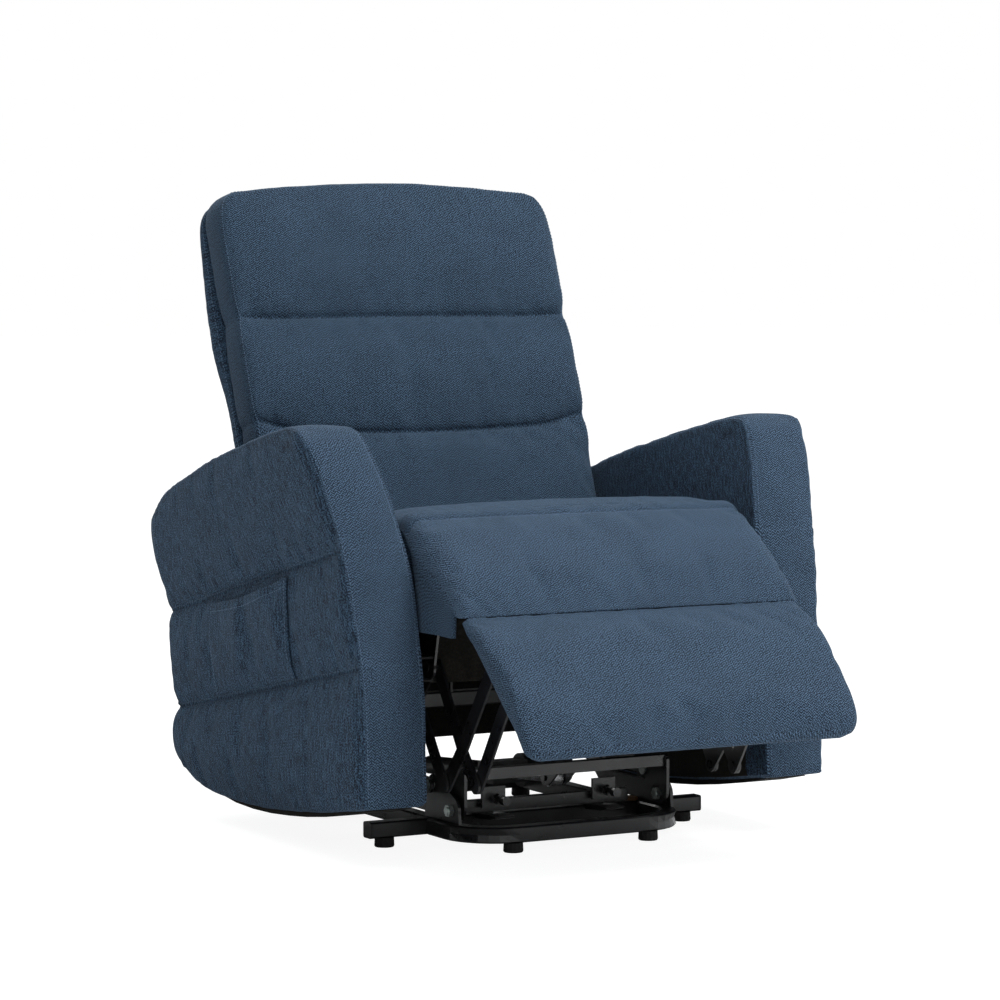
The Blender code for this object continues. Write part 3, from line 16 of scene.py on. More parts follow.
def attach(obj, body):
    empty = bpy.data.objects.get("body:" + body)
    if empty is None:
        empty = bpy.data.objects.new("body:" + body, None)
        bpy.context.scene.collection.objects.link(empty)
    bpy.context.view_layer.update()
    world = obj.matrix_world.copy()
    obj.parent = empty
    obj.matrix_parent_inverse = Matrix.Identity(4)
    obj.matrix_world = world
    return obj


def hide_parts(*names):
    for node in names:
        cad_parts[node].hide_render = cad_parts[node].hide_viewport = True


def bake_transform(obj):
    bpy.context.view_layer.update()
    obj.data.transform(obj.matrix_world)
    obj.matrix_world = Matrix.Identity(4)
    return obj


bl_info = {
    "name": "Lift Recliner Chair",
    "version": (1, 0, 0),
    "blender": (4, 5, 0),
    "location": "3D View > Sidebar > Lift Recliner",
    "description": "Upholstery, finishes and stage of a lift recliner chair",
    "category": "Add Mesh",
}

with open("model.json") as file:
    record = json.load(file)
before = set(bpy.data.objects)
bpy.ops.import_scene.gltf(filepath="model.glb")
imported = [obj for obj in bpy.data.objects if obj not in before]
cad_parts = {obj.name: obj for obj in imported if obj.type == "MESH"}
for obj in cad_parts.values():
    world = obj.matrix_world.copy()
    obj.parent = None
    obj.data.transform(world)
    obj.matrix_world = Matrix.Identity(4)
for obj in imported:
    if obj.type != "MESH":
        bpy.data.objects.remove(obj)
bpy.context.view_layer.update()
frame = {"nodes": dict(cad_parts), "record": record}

# ---- the chair's own measures
MID_Y = 0.0500
ARM_ROOM = 0.299  # half the room between the arms
ARM_OUTSIDE = 0.399  # half the width over the arms' seams, low down
ARM_PUFF, ARM_STRIP = 0.009, 0.16  # the bands swell this far, in full behind this share of the arm's depth
ARM_EDGE = 0.005  # the front strip's edge stands this far outside the seams
ARM_LOW, ARM_HIGH = 0.04, 0.66
INNER_LEAN = (0.044, 0.36, 0.29, 1.7)  # how far out a face leans, from what height, over what rise, to what power
OUTER_LEAN = (0.041, 0.20, 0.44, 2)
LOWER_SEAM = ((-0.190, 0.301), (0.478, 0.172))  # the seams that part an arm's three bands
UPPER_SEAM = ((-0.154, 0.473), (0.498, 0.326))
ARM_FRONT = [[(-0.205, 0.092), (-0.202, 0.170), (-0.198, 0.247), LOWER_SEAM[0]],
             [LOWER_SEAM[0], (-0.181, 0.347), (-0.166, 0.428), UPPER_SEAM[0]],
             [UPPER_SEAM[0], (-0.118, 0.572), (-0.082, 0.629), (-0.062, 0.646)]]
ARM_REAR = [[(0.440, 0.077), (0.472, 0.104), (0.484, 0.139), LOWER_SEAM[1]],
            [LOWER_SEAM[1], (0.484, 0.230), (0.490, 0.288), UPPER_SEAM[1]],
            [UPPER_SEAM[1], (0.510, 0.366), (0.526, 0.415), (0.531, 0.452), (0.522, 0.478)]]
ARM_TOP = [(-0.062, 0.646), (-0.029, 0.649), (0.026, 0.641), (0.115, 0.622), (0.277, 0.583),
           (0.361, 0.557), (0.449, 0.528), (0.490, 0.506), (0.522, 0.478)]
ARM_BOTTOM = [(-0.205, 0.092), (-0.133, 0.081), (-0.013, 0.064), (0.083, 0.054), (0.181, 0.047),
              (0.272, 0.046), (0.345, 0.049), (0.397, 0.060), (0.440, 0.077)]
POCKET_Y = (0.030, 0.318)
BACK_BASE = (0.291, 0.440)
BACK_LEAN = math.radians(21.5)
BACK_UP, BACK_OUT = (math.sin(BACK_LEAN), math.cos(BACK_LEAN)), (-math.cos(BACK_LEAN), math.sin(BACK_LEAN))
BACK_LENGTH = 0.618
BACK_HALF = (0.304, 0.314)  # half widths between the arms and above them
BACK_WIDENS = (0.120, 0.080)  # where up the back it starts to widen, and over what length
BACK_SEAMS = (0.206, 0.392)
BACK_BOWS = (0.0, -0.016, 0.0, 0.016)  # how far the ends, the channels and the top bow in the middle
BACK_LIFTS = (0.012, 0.004)  # how far the lower and upper channels' ends curl up
BACK_DEPTH = 0.058
BACK_CHANNEL, BACK_CROWN, BACK_NECK = 0.010, 0.008, 0.006  # channels' depth, middle's swell, sides' draw at a channel
SHELL_LOW, SHELL_HIGH = 0.037, 0.019
SHELL_FULL = (0.26, 0.10)  # the shell is fuller only above the arms, which it passes as it reclines
BACK_CORNER, CORNER_PULL = 0.050, 0.9
BACK_PIVOT = (0.330, 0.370)
SEAT_FRONT, SEAT_REAR = (-0.1022, 0.515), (0.276, 0.468)
SEAT_DECK, SEAT_HALF, SEAT_CROWN = 0.3918, 0.2955, 0.008
SEAT_TOP, SEAT_FLAT, SEAT_SOFT = 0.296, 0.276, 0.020  # half widths of its top, whole and flat; the rounding
FLAP_HALF, FLAP_SOFT, FLAP_CROWN = 0.2965, (0.026, 0.012), 0.003
PAD_TOP = (-0.307, 0.370)
PAD_SLOPE = math.radians(45)
PAD_RUN, PAD_OUT = (-math.cos(PAD_SLOPE), -math.sin(PAD_SLOPE)), (-math.sin(PAD_SLOPE), math.cos(PAD_SLOPE))
PAD_LENGTH, PAD_BACK, PAD_FRONT, PAD_SOFT = 0.246, 0.023, 0.025, 0.016
PAD_TUCK = 0.0135  # the pad's top edge reaches this far under the flap
PAD_HALF = (0.2960, 0.2880)  # half widths at the seam and at the free end
PAD_CORNERS = (0.014, 0.030)  # at the sitter's right and left


# ---- small geometry helpers
def lerp(a, b, t):
    return a + (b - a) * t


def ease(t):
    t = min(max(t, 0.0), 1.0)
    return t * t * (3 - 2 * t)


def crowded(t, k=0.65):
    """0..1 with the steps packed closer towards both ends, where the seams are."""
    return t - k * math.sin(2 * math.pi * t) / (2 * math.pi)


def spread(a):
    """-1..1 with the columns packed a little closer towards both sides."""
    return 2 * crowded((a + 1) / 2, 0.5) - 1


def shoulder(past, radius):
    """How far a rounded edge has dropped, so far past where its rounding starts."""
    return radius - math.sqrt(max(0.0, radius**2 - max(0.0, past) ** 2))


def along(point, direction, distance):
    return (point[0] + direction[0] * distance, point[1] + direction[1] * distance)


def mix(p, q, t):
    return tuple(lerp(a, b, t) for a, b in zip(p, q))


def spot(x, p):
    """A side-view point at x, in the model's own frame."""
    return Vector((x, p[0] - MID_Y, p[1]))


def curve_point(points, t):
    """A point at t in 0..1 on a smooth curve through the points, spaced by their distances."""
    steps = [0.0]
    for p, q in zip(points, points[1:]):
        steps.append(steps[-1] + math.dist(p, q))
    want = min(max(t, 0.0), 1.0) * steps[-1]
    i = max(k for k in range(len(points) - 1) if steps[k] <= want + 1e-12)
    u = (want - steps[i]) / (steps[i + 1] - steps[i])
    before, p, q = points[max(i - 1, 0)], points[i], points[i + 1]
    after = points[min(i + 2, len(points) - 1)]
    out = []
    for k in (0, 1):
        m0, m1 = (q[k] - before[k]) / 2, (after[k] - p[k]) / 2
        out.append((2 * u**3 - 3 * u**2 + 1) * p[k] + (u**3 - 2 * u**2 + u) * m0
                   + (-2 * u**3 + 3 * u**2) * q[k] + (u**3 - u**2) * m1)
    return tuple(out)


def on_line(line, y):
    (y0, z0), (y1, z1) = line
    return z0 + (z1 - z0) * (y - y0) / (y1 - y0)


def patch(u, v, sides, corners):
    """A point inside four border curves: sides are their points at u and v, corners where they meet."""
    bottom, top, first, last = sides
    (low0, low1), (high0, high1) = corners
    return tuple(lerp(bottom[k], top[k], v) + lerp(first[k], last[k], u)
                 - lerp(lerp(low0[k], low1[k], u), lerp(high0[k], high1[k], u), v) for k in (0, 1))


def end_round(distance, length, corner):
    """1 inside a shape, falling to 0 at its two ends as a quarter circle."""
    d = min(distance, length - distance)
    return 1.0 if d >= corner else math.sqrt(max(0.0, 1 - (1 - d / corner) ** 2))


# ---- soft pieces
def linked(name, data):
    """A new object in the scene, from its data or from a bmesh, which this frees."""
    if isinstance(data, bmesh.types.BMesh):
        bm, data = data, bpy.data.meshes.new(name)
        bm.to_mesh(data)
        bm.free()
    obj = bpy.data.objects.new(name, data)
    bpy.context.scene.collection.objects.link(obj)
    return obj


class Block:
    """A box cut into a grid whose points are then set on the piece's own surface."""

    def __init__(self, name, counts, place, smooth=4, rounded=None):
        self.counts = counts
        bm = bmesh.new()
        bmesh.ops.create_cube(bm, size=2.0)
        for axis, count in enumerate(counts):
            runs = [e for e in bm.edges if abs(e.verts[0].co[axis] - e.verts[1].co[axis]) > 1.9]
            bmesh.ops.subdivide_edges(bm, edges=runs, cuts=count - 1, use_grid_fill=True)
        bm.verts.index_update()
        self.grid, self.keys = {}, []
        for v in bm.verts:
            key = tuple(round((v.co[k] + 1) / 2 * counts[k]) for k in range(3))
            self.grid[key] = v.index
            self.keys.append(key)
        for v in bm.verts:
            v.co = place(*v.co)
        self.lay_weave(bm)
        soft = [v for v in bm.verts if rounded and rounded(*self.keys[v.index])]
        for chosen, times in ((bm.verts, smooth), (soft, 16 if soft else 0)):
            for _ in range(times):
                bmesh.ops.smooth_vert(bm, verts=chosen, factor=0.5, use_axis_x=True, use_axis_y=True, use_axis_z=True)
        bmesh.ops.recalc_face_normals(bm, faces=bm.faces)
        self.obj = linked(name, bm)

    def lay_weave(self, bm):
        """UV map in metres: each side of the block is one cut panel, its lengths measured on the surface."""
        layer = bm.loops.layers.uv.new("weave")
        bm.verts.ensure_lookup_table()
        tables = {}
        for side in range(3):
            for end in (0, self.counts[side]):
                for axis in range(3):
                    if axis == side:
                        continue
                    key = [n // 2 for n in self.counts]
                    key[side] = end
                    lengths, last = [], None
                    for i in range(self.counts[axis] + 1):
                        key[axis] = i
                        co = bm.verts[self.grid[tuple(key)]].co
                        lengths.append(lengths[-1] + (co - last).length if lengths else 0.0)
                        last = co
                    tables[side, end, axis] = lengths
        for face in bm.faces:
            keys = [self.keys[v.index] for v in face.verts]
            side, end = next((k, e) for k in range(3) for e in (0, self.counts[k]) if all(key[k] == e for key in keys))
            p, q = [k for k in range(3) if k != side]
            across, up = tables[side, end, p], tables[side, end, q]
            for loop, key in zip(face.loops, keys):
                v = up[key[q]] - (up[-1] if side < 2 else 0.0)
                loop[layer].uv = (across[key[p]] - across[-1] / 2, v)

    def row(self, axis, **fixed):
        """Points in order along one axis; the others are fixed at grid counts, negative ones from the far end."""
        names = "abc"
        key = [0, 0, 0]
        for name, value in fixed.items():
            k = names.index(name)
            key[k] = value if value >= 0 else self.counts[k] + 1 + value
        out = []
        for i in range(self.counts[axis] + 1):
            key[axis] = i
            out.append(self.grid[tuple(key)])
        return out

    def ring(self, axis, end, inset=0):
        """Points in order round one end of the block, or inset so many rows along the sides from it."""
        p, q = [k for k in range(3) if k != axis]
        at = inset if end == 0 else self.counts[axis] - inset
        path = [(i, 0) for i in range(self.counts[p])] + [(self.counts[p], j) for j in range(self.counts[q])]
        path += [(i, self.counts[q]) for i in range(self.counts[p], 0, -1)]
        path += [(0, j) for j in range(self.counts[q], -1, -1)]
        out = []
        for i, j in path:
            key = [0, 0, 0]
            key[axis], key[p], key[q] = at, i, j
            out.append(self.grid[tuple(key)])
        return out

    def side(self, axis, end):
        """All the points of one side."""
        return [i for i, key in enumerate(self.keys) if key[axis] == (self.counts[axis] if end else 0)]


def coordinates(mesh):
    co = np.empty(len(mesh.vertices) * 3, np.float32)
    mesh.vertices.foreach_get("co", co)
    return co.reshape(-1, 3)


def stuff(block, held, pressure, cap, loose=0.0):
    """Cloth under air pressure: the sewn points stay and the panels between them swell, no further than cap."""
    obj, scene = block.obj, bpy.context.scene
    rest = coordinates(obj.data).copy()
    group = obj.vertex_groups.new(name="sewn")
    for index, weight in held.items():
        group.add([index], weight, "REPLACE")
    cloth = obj.modifiers.new("stuffing", "CLOTH")
    settings = cloth.settings
    settings.quality = 4
    settings.vertex_group_mass = "sewn"
    settings.use_pressure = True
    settings.uniform_pressure_force = pressure
    settings.effector_weights.gravity = 0.0
    settings.shrink_min = -loose
    for number in range(1, 21):
        scene.frame_set(number)
    graph = bpy.context.evaluated_depsgraph_get()
    step = coordinates(obj.evaluated_get(graph).data) - rest
    length = np.linalg.norm(step, axis=1, keepdims=True)
    step *= np.minimum(1.0, cap / np.maximum(length, 1e-9))
    obj.modifiers.remove(cloth)
    obj.vertex_groups.clear()
    obj.data.vertices.foreach_set("co", (rest + step).astype(np.float32).ravel())
    scene.frame_set(1)


def baked(obj):
    """Swaps the object's mesh for the one that its modifiers give."""
    graph = bpy.context.evaluated_depsgraph_get()
    mesh = bpy.data.meshes.new_from_object(obj.evaluated_get(graph))
    obj.modifiers.clear()
    mesh.name = obj.name
    obj.data = mesh


def refine(obj):
    mod = obj.modifiers.new("finer", "SUBSURF")
    mod.levels = mod.render_levels = 1
    baked(obj)
    obj.data.shade_smooth()


def seam_samples(mesh, lines):
    """Points on the sewn lines, with how far along its line each lies."""
    points = []
    for number, line in enumerate(lines):
        run, last = number * 7.0, None
        for index in line:
            p = mesh.vertices[index].co.copy()
            if last is not None:
                points.append(((p + last) / 2, run + (p - last).length / 2))
                run += (p - last).length
            points.append((p, run))
            last = p
    return points


def sew(obj, lines, depth=0.0024, width=0.0022, soft=0.0016, pucker=0.0012, pitch=0.016, reach=0.045):
    """Sinks the sewn lines, crisp in the middle of a soft hollow, and draws small puckers away from them."""
    mesh = obj.data
    points = seam_samples(mesh, lines)
    tree = kdtree.KDTree(len(points))
    for i, (p, _) in enumerate(points):
        tree.insert(p, i)
    tree.balance()
    normals = [v.normal.copy() for v in mesh.vertices]
    for v, normal in zip(mesh.vertices, normals):
        _, i, d = tree.find(v.co)
        if d > reach:
            continue
        drop = depth * math.exp(-(d / width) ** 2) + soft * math.exp(-(d / 0.009) ** 2)
        swell = d / 0.010 * math.exp(1 - d / 0.010)
        fold = noise.noise(Vector((points[i][1] / pitch, d / 0.05, 3.7))) + 0.5 * noise.noise(
            Vector((points[i][1] / pitch * 2.3, d / 0.03, 9.1)))
        v.co += normal * (pucker * swell * fold - drop)


def rumple(obj, amount, size, seed):
    """Slow hollows and swellings in the cloth."""
    normals = [v.normal.copy() for v in obj.data.vertices]
    for v, normal in zip(obj.data.vertices, normals):
        p = v.co / size + Vector((seed, seed * 1.7, -seed))
        v.co += normal * (amount * (noise.noise(p) + 0.5 * noise.noise(p * 2.2)))


def flip(mesh):
    """Turns a mesh into the one for the other side of the chair."""
    mesh.transform(Matrix.Scale(-1, 4, (1, 0, 0)))
    mesh.flip_normals()


def mirrored(obj, name):
    """The same piece on the other side of the chair."""
    mesh = obj.data.copy()
    flip(mesh)
    mesh.name = name
    return linked(name, mesh)


def surface(obj):
    """The object's surface as a tree that finds its nearest point or the first one that a ray meets."""
    bm = bmesh.new()
    bm.from_mesh(obj.data)
    tree = bvhtree.BVHTree.FromBMesh(bm)
    bm.free()
    return tree


def topstitch(name, body, obj, lines, thread, pitch=0.0062, length=0.0043, radius=0.00055, lift=0.0001):
    """Thread along lines of points, each stitch a slim bead half sunk in the cloth."""
    tree = surface(obj)
    bead = bmesh.new()
    bmesh.ops.create_uvsphere(bead, u_segments=6, v_segments=4, radius=1.0)
    corners = np.array([v.co for v in bead.verts])
    sides = [[v.index for v in face.verts] for face in bead.faces]
    bead.free()
    points, faces = [], []
    for line in lines:
        run, need = 0.0, pitch / 2
        for p, q in zip(line, line[1:]):
            step = (q - p).length
            while step > 1e-9 and need <= run + step:
                at = p.lerp(q, (need - run) / step)
                place, normal, _, _ = tree.find_nearest(at)
                tangent = (q - p) - normal * (q - p).dot(normal)
                tangent.normalize()
                turn = np.array((tangent * (length / 2), normal.cross(tangent) * radius, normal * radius))
                faces += [[i + len(points) * len(corners) for i in side] for side in sides]
                points.append(corners @ turn + np.array(place + normal * lift))
                need += pitch
            run += step
    mesh = bpy.data.meshes.new(name)
    mesh.from_pydata(np.concatenate(points), [], faces)
    return piece_of(name, mesh, body, thread)


def piece_of(name, data, body, material):
    """A new piece from a mesh or a bmesh, riding on a body."""
    obj = linked(name, data)
    obj.data.materials.append(material)
    obj.data.shade_smooth()
    obj.data.set_sharp_from_angle(angle=math.radians(40))
    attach(obj, body)
    return obj


def dress(obj, *materials):
    """Gives the object these materials and no others."""
    obj.data.materials.clear()
    for material in materials:
        obj.data.materials.append(material)


def points_of(obj, indices):
    return [obj.data.vertices[i].co.copy() for i in indices]


def black_cloth(name, counts, place):
    """Thin lining that hangs out of sight behind the upholstery."""
    made = Block(name, counts, place, smooth=0)
    refine(made.obj)
    dress(made.obj, finish_of("lining"))
    return made


# ---- materials
def srgb(code):
    """Linear colour of a colour written as sRGB hex."""
    parts = [int(code[i:i + 2], 16) / 255 for i in (1, 3, 5)]
    return tuple(v / 12.92 if v <= 0.04045 else ((v + 0.055) / 1.055) ** 2.4 for v in parts) + (1.0,)


def add(tree, kind, values=None, links=None, **settings):
    """One shader node with its settings, its values and its links, which are nodes or their sockets."""
    made = tree.nodes.new("ShaderNode" + kind)
    for name, value in settings.items():
        setattr(made, name, value)
    for socket, value in (values or {}).items():
        made.inputs[socket].default_value = value
    for socket, source in (links or {}).items():
        tree.links.new(source.outputs[0] if isinstance(source, bpy.types.Node) else source, made.inputs[socket])
    return made


def blank(name, **sockets):
    """A material with its shader's even values on their own sockets."""
    mat = bpy.data.materials.new(name)
    mat.use_nodes = True
    tree = mat.node_tree
    shader = tree.nodes["Principled BSDF"]
    for socket, value in sockets.items():
        shader.inputs[socket.replace("_", " ")].default_value = value
    return mat, tree, shader


def feed(tree, shader, **nodes):
    """Links each node's first output to the shader's socket of that name."""
    for socket, node in nodes.items():
        tree.links.new(node.outputs[0], shader.inputs[socket.replace("_", " ")])


def ramp(tree, source, stops):
    """A colour ramp with a stop at each (position, colour)."""
    made = add(tree, "ValToRGB", links={0: source})
    points = made.color_ramp.elements
    while len(points) < len(stops):
        points.new(0.5)
    for point, (at, colour) in zip(points, stops):
        point.position = at
        point.color = colour
    return made


def chenille(name, dark, middle, light, relief, nap, painted_shade_share=(1.0, 1.0, 1.0)):
    """Woven chenille: low herringbone ribs, a soft cut pile that lies light and dark, a pale sheen at the edges.

    The share given per colour is how much of it a panel keeps: painted shade, a darker copy of the cloth for panels
    that sit in shade.
    """
    dark, middle, light = ([v * share for v, share in zip(tone, painted_shade_share)] + [1.0] for tone in (dark, middle, light))
    mat, tree, shader = blank(name, Roughness=0.9, Sheen_Weight=0.14, Sheen_Roughness=0.42,
                              Sheen_Tint=srgb("#8fa9c4"), Specular_IOR_Level=0.25)
    weave = add(tree, "UVMap", uv_map="weave")
    mm = add(tree, "VectorMath", {1: (1000.0, 1000.0, 1000.0)}, {0: weave}, operation="MULTIPLY")
    parts = add(tree, "SeparateXYZ", links={0: mm})
    # chevrons 4.6 mm wide with ribs 4.2 mm apart: the real ones are about 2.5 and 3, drawn coarser so that they show
    chevron = add(tree, "Math", {1: 4.6}, {0: parts.outputs["X"]}, operation="PINGPONG")
    rise = add(tree, "Math", links={0: parts.outputs["Y"], 1: chevron}, operation="ADD")
    phase = add(tree, "Math", {1: 2 * math.pi / 4.2}, {0: rise}, operation="MULTIPLY")
    rib = add(tree, "Math", links={0: phase}, operation="SINE")
    # pile: clumps of about 2.5 mm, with long streaks down the nap
    fuzz = add(tree, "TexNoise", {"Scale": 0.42, "Detail": 2.0, "Roughness": 0.6}, {"Vector": mm},
               noise_dimensions="2D")
    long_way = add(tree, "VectorMath", {1: (0.45, 0.05, 1.0)}, {0: mm}, operation="MULTIPLY")
    streak = add(tree, "TexNoise", {"Scale": 1.0, "Detail": 2.0, "Roughness": 0.5}, {"Vector": long_way},
                 noise_dimensions="2D")
    cloud = add(tree, "TexNoise", {"Scale": 0.014, "Detail": 2.0, "Roughness": 0.5}, {"Vector": mm},
                noise_dimensions="2D")
    tone = add(tree, "Math", {1: relief, 2: 0.5}, {0: rib}, operation="MULTIPLY_ADD")
    for source, low, far in ((fuzz, 0.25, 0.8), (streak, 0.25, nap), (cloud, 0.3, 0.045)):
        part = add(tree, "MapRange", {1: low, 2: 1 - low, 3: -far, 4: far}, {0: source}, clamp=False)
        tone = add(tree, "Math", links={0: tone, 1: part}, operation="ADD")
    colour = ramp(tree, tone, [(0.0, dark), (0.5, middle), (1.0, light)])
    height = add(tree, "Math", links={0: rib, 1: fuzz}, operation="ADD")
    bump = add(tree, "Bump", {"Strength": 0.55, "Distance": 0.0008}, {"Height": height})
    feed(tree, shader, Base_Color=colour, Normal=bump)
    return mat


def felted(name, dark, light):
    """Spun-bonded black lining: thin, matt, pressed with a close grid of points."""
    mat, tree, shader = blank(name, Roughness=0.95, Specular_IOR_Level=0.2)
    place = add(tree, "TexCoord")
    dots = add(tree, "TexVoronoi", {"Scale": 520.0, "Randomness": 0.25}, {"Vector": place.outputs["Object"]})
    hair = add(tree, "TexNoise", {"Scale": 300.0, "Detail": 4.0}, {"Vector": place.outputs["Object"]})
    tone = add(tree, "Math", links={0: dots.outputs["Distance"], 1: hair}, operation="MULTIPLY")
    colour = ramp(tree, tone, [(0.05, dark), (0.45, light)])
    bump = add(tree, "Bump", {"Strength": 0.4, "Distance": 0.0003}, {"Height": tone})
    feed(tree, shader, Base_Color=colour, Normal=bump)
    return mat


def marked(name, low, high, scale, noise_form, rough, grain=None, **sockets):
    """A hard surface in soft patches of two tones and two roughnesses, with a fine grain where one is asked for.

    low and high are the tones' positions and colours; grain is its scale, strength and depth.
    """
    mat, tree, shader = blank(name, **sockets)
    place = add(tree, "TexCoord").outputs["Object"]
    patches = add(tree, "TexNoise", {"Scale": scale, "Detail": noise_form[0], "Roughness": noise_form[1]},
                  {"Vector": place})
    colour = ramp(tree, patches, [low, high])
    dullness = add(tree, "MapRange", {1: 0.3, 2: 0.7, 3: rough[0], 4: rough[1]}, {0: patches})
    feed(tree, shader, Base_Color=colour, Roughness=dullness)
    if grain:
        fine = add(tree, "TexNoise", {"Scale": grain[0], "Detail": 2.0}, {"Vector": place})
        bump = add(tree, "Bump", {"Strength": grain[1], "Distance": grain[2]}, {"Height": fine})
        feed(tree, shader, Normal=bump)
    return mat


def powder_coated(name, base, worn, rough):
    """Satin powder coat on steel: orange peel about 1.5 mm across, duller in rubbed patches of about 40 mm."""
    return marked(name, (0.38, base), (0.75, worn), 24.0, (5.0, 0.65), (rough - 0.07, rough + 0.14),
                  (650.0, 0.25, 0.0002), Metallic=0.0, Specular_IOR_Level=0.5, Coat_Weight=0.3, Coat_Roughness=0.18)


def plated(name, bright, dull, rough):
    """Plated or drawn steel: bright, with faint marks and a duller bloom."""
    return marked(name, (0.35, dull), (0.65, bright), 160.0, (4.0, 0.6), (rough - 0.06, rough + 0.12), Metallic=1.0)


def moulded(name, base, worn, rough):
    """Moulded plastic or rubber: even colour, fine spark-eroded grain, a little scuffing."""
    return marked(name, (0.4, base), (0.8, worn), 60.0, (5.0, 0.7), (rough - 0.05, rough + 0.1),
                  (900.0, 0.3, 0.00015), Specular_IOR_Level=0.45)


FINISHES = {}


def finish_of(kind):
    """Each finish is made once, when a piece first asks for it."""
    if kind not in FINISHES:
        cloth = bpy.context.scene.recliner_upholstery
        tones = (cloth.dark[:], cloth.middle[:], cloth.light[:])
        makers = {
            "chenille": lambda: chenille("woven_chenille", *tones, relief=0.55, nap=0.06),
            # the two copies below darken the cloth's colours by a share: painted shade standing in for the shade on
            # the back pad, the arms' sides, the pocket and the back shell; the nap copy also has its own brushed
            # streaks
            "chenille_down_painted_shade": lambda: chenille("woven_chenille_with_painted_shade", *tones, relief=0.55, nap=0.10,
                                              painted_shade_share=(0.79, 0.83, 0.84)),
            "chenille_nap_painted_shade": lambda: chenille("brushed_chenille_painted_shade", *tones, relief=0.18, nap=0.48,
                                             painted_shade_share=(0.75, 0.84, 0.88)),
            "thread": lambda: moulded("polyester_thread", srgb("#48607a"), srgb("#6d86a0"), 0.7),
            "lining": lambda: felted("spunbond_lining", srgb("#0c0b0a"), srgb("#2a2825")),
            "powder": lambda: powder_coated("powder_coated_steel", srgb("#0e0e10"), srgb("#1b1b1e"), 0.30),
            "zinc": lambda: plated("zinc_plated_steel", srgb("#e6ece8"), srgb("#b9c6c1"), 0.34),
            "drawn": lambda: plated("ground_steel", srgb("#c9cacb"), srgb("#a3a4a6"), 0.26),
            "abs": lambda: moulded("black_abs", srgb("#151516"), srgb("#26262a"), 0.48),
            "rubber": lambda: moulded("black_rubber", srgb("#131313"), srgb("#242322"), 0.75),
            "gum": lambda: moulded("brown_rubber", srgb("#5b3d22"), srgb("#7a5a37"), 0.7),
        }
        FINISHES[kind] = makers[kind]()
    return FINISHES[kind]


# ---- shapes of the soft pieces
def leaning(z, lean):
    far, start, rise, power = lean
    return far * max(0.0, (z - start) / rise) ** power


def arm_inner(z):
    return ARM_ROOM + leaning(z, INNER_LEAN)


def arm_outer(y, z, puff):
    levels = (ARM_LOW, on_line(LOWER_SEAM, y), on_line(UPPER_SEAM, y), ARM_HIGH)
    band = (z >= levels[1]) + (z >= levels[2])
    t = (z - levels[band]) / (levels[band + 1] - levels[band])
    t = min(max(t, 0.0), 1.0)
    return ARM_OUTSIDE + leaning(z, OUTER_LEAN) + puff * (1 - abs(2 * t - 1) ** 3)


def arm_point(u, t):
    """Side-view point of an arm: u from front to rear, t from 0 to 3 up its three bands."""
    band = min(int(t), 2)
    v = t - band
    levels = (ARM_BOTTOM, LOWER_SEAM, UPPER_SEAM, ARM_TOP)
    bottom, top = levels[band], levels[band + 1]
    curves = ((bottom, u), (top, u), (ARM_FRONT[band], v), (ARM_REAR[band], v))
    return patch(u, v, [curve_point(*curve) for curve in curves], ((bottom[0], bottom[-1]), (top[0], top[-1])))


def arm_place(a, b, c):
    level = (c + 1) * 1.5
    band = min(int(level), 2)
    u = crowded((b + 1) / 2)
    y, z = arm_point(u, band + crowded(level - band))
    front = arm_outer(y, z, 0.0) + ARM_EDGE
    inner, outer = arm_inner(z) + 0.0004, lerp(front, arm_outer(y, z, ARM_PUFF), ease(u / ARM_STRIP))
    return spot(lerp(inner, outer, crowded((a + 1) / 2)), (y, z))


def back_station(b):
    """Along the back: distance, share of the roll from 0 to 1, its bow, how far the side draws in, and the roll."""
    edges = (0.0,) + BACK_SEAMS + (BACK_LENGTH,)
    t = (b + 1) * 1.5
    roll = min(int(t), 2)
    v = crowded(t - roll)
    d = lerp(edges[roll], edges[roll + 1], v)
    corner = shoulder(BACK_CORNER - (BACK_LENGTH - d), BACK_CORNER)
    return d, v, lerp(BACK_BOWS[roll], BACK_BOWS[roll + 1], v), corner, roll


def back_wide(d):
    return ease((d - BACK_WIDENS[0]) / BACK_WIDENS[1])


def back_place(a, b, c):
    d, v, bow, corner, roll = back_station(b)
    a = spread(a)
    neck = BACK_NECK * abs(2 * v - 1) ** 5 if d < BACK_LENGTH - BACK_CORNER else 0.0
    half = lerp(*BACK_HALF, back_wide(d)) - corner * CORNER_PULL - neck
    channel = abs(2 * v - 1) ** 4
    if roll == 2 and v > 0.5:
        channel *= 0.55  # the top edge is shallower than a channel
    side = ease((1 - abs(a)) / 0.12)  # a channel ends short of the side
    top = 0.003 - BACK_CHANNEL * channel * lerp(0.3, 1.0, side) + BACK_CROWN * (1 - a * a)
    h = lerp(-BACK_DEPTH, top, (c + 1) / 2)
    near = channel if d < BACK_LENGTH - 0.1 else 0.0
    curl = BACK_LIFTS[d >= 0.3] * ease((abs(a) - 0.72) / 0.26) * near
    p = along(along(BACK_BASE, BACK_UP, d + bow * (1 - a * a) + curl), BACK_OUT, h)
    return spot(a * half, p)


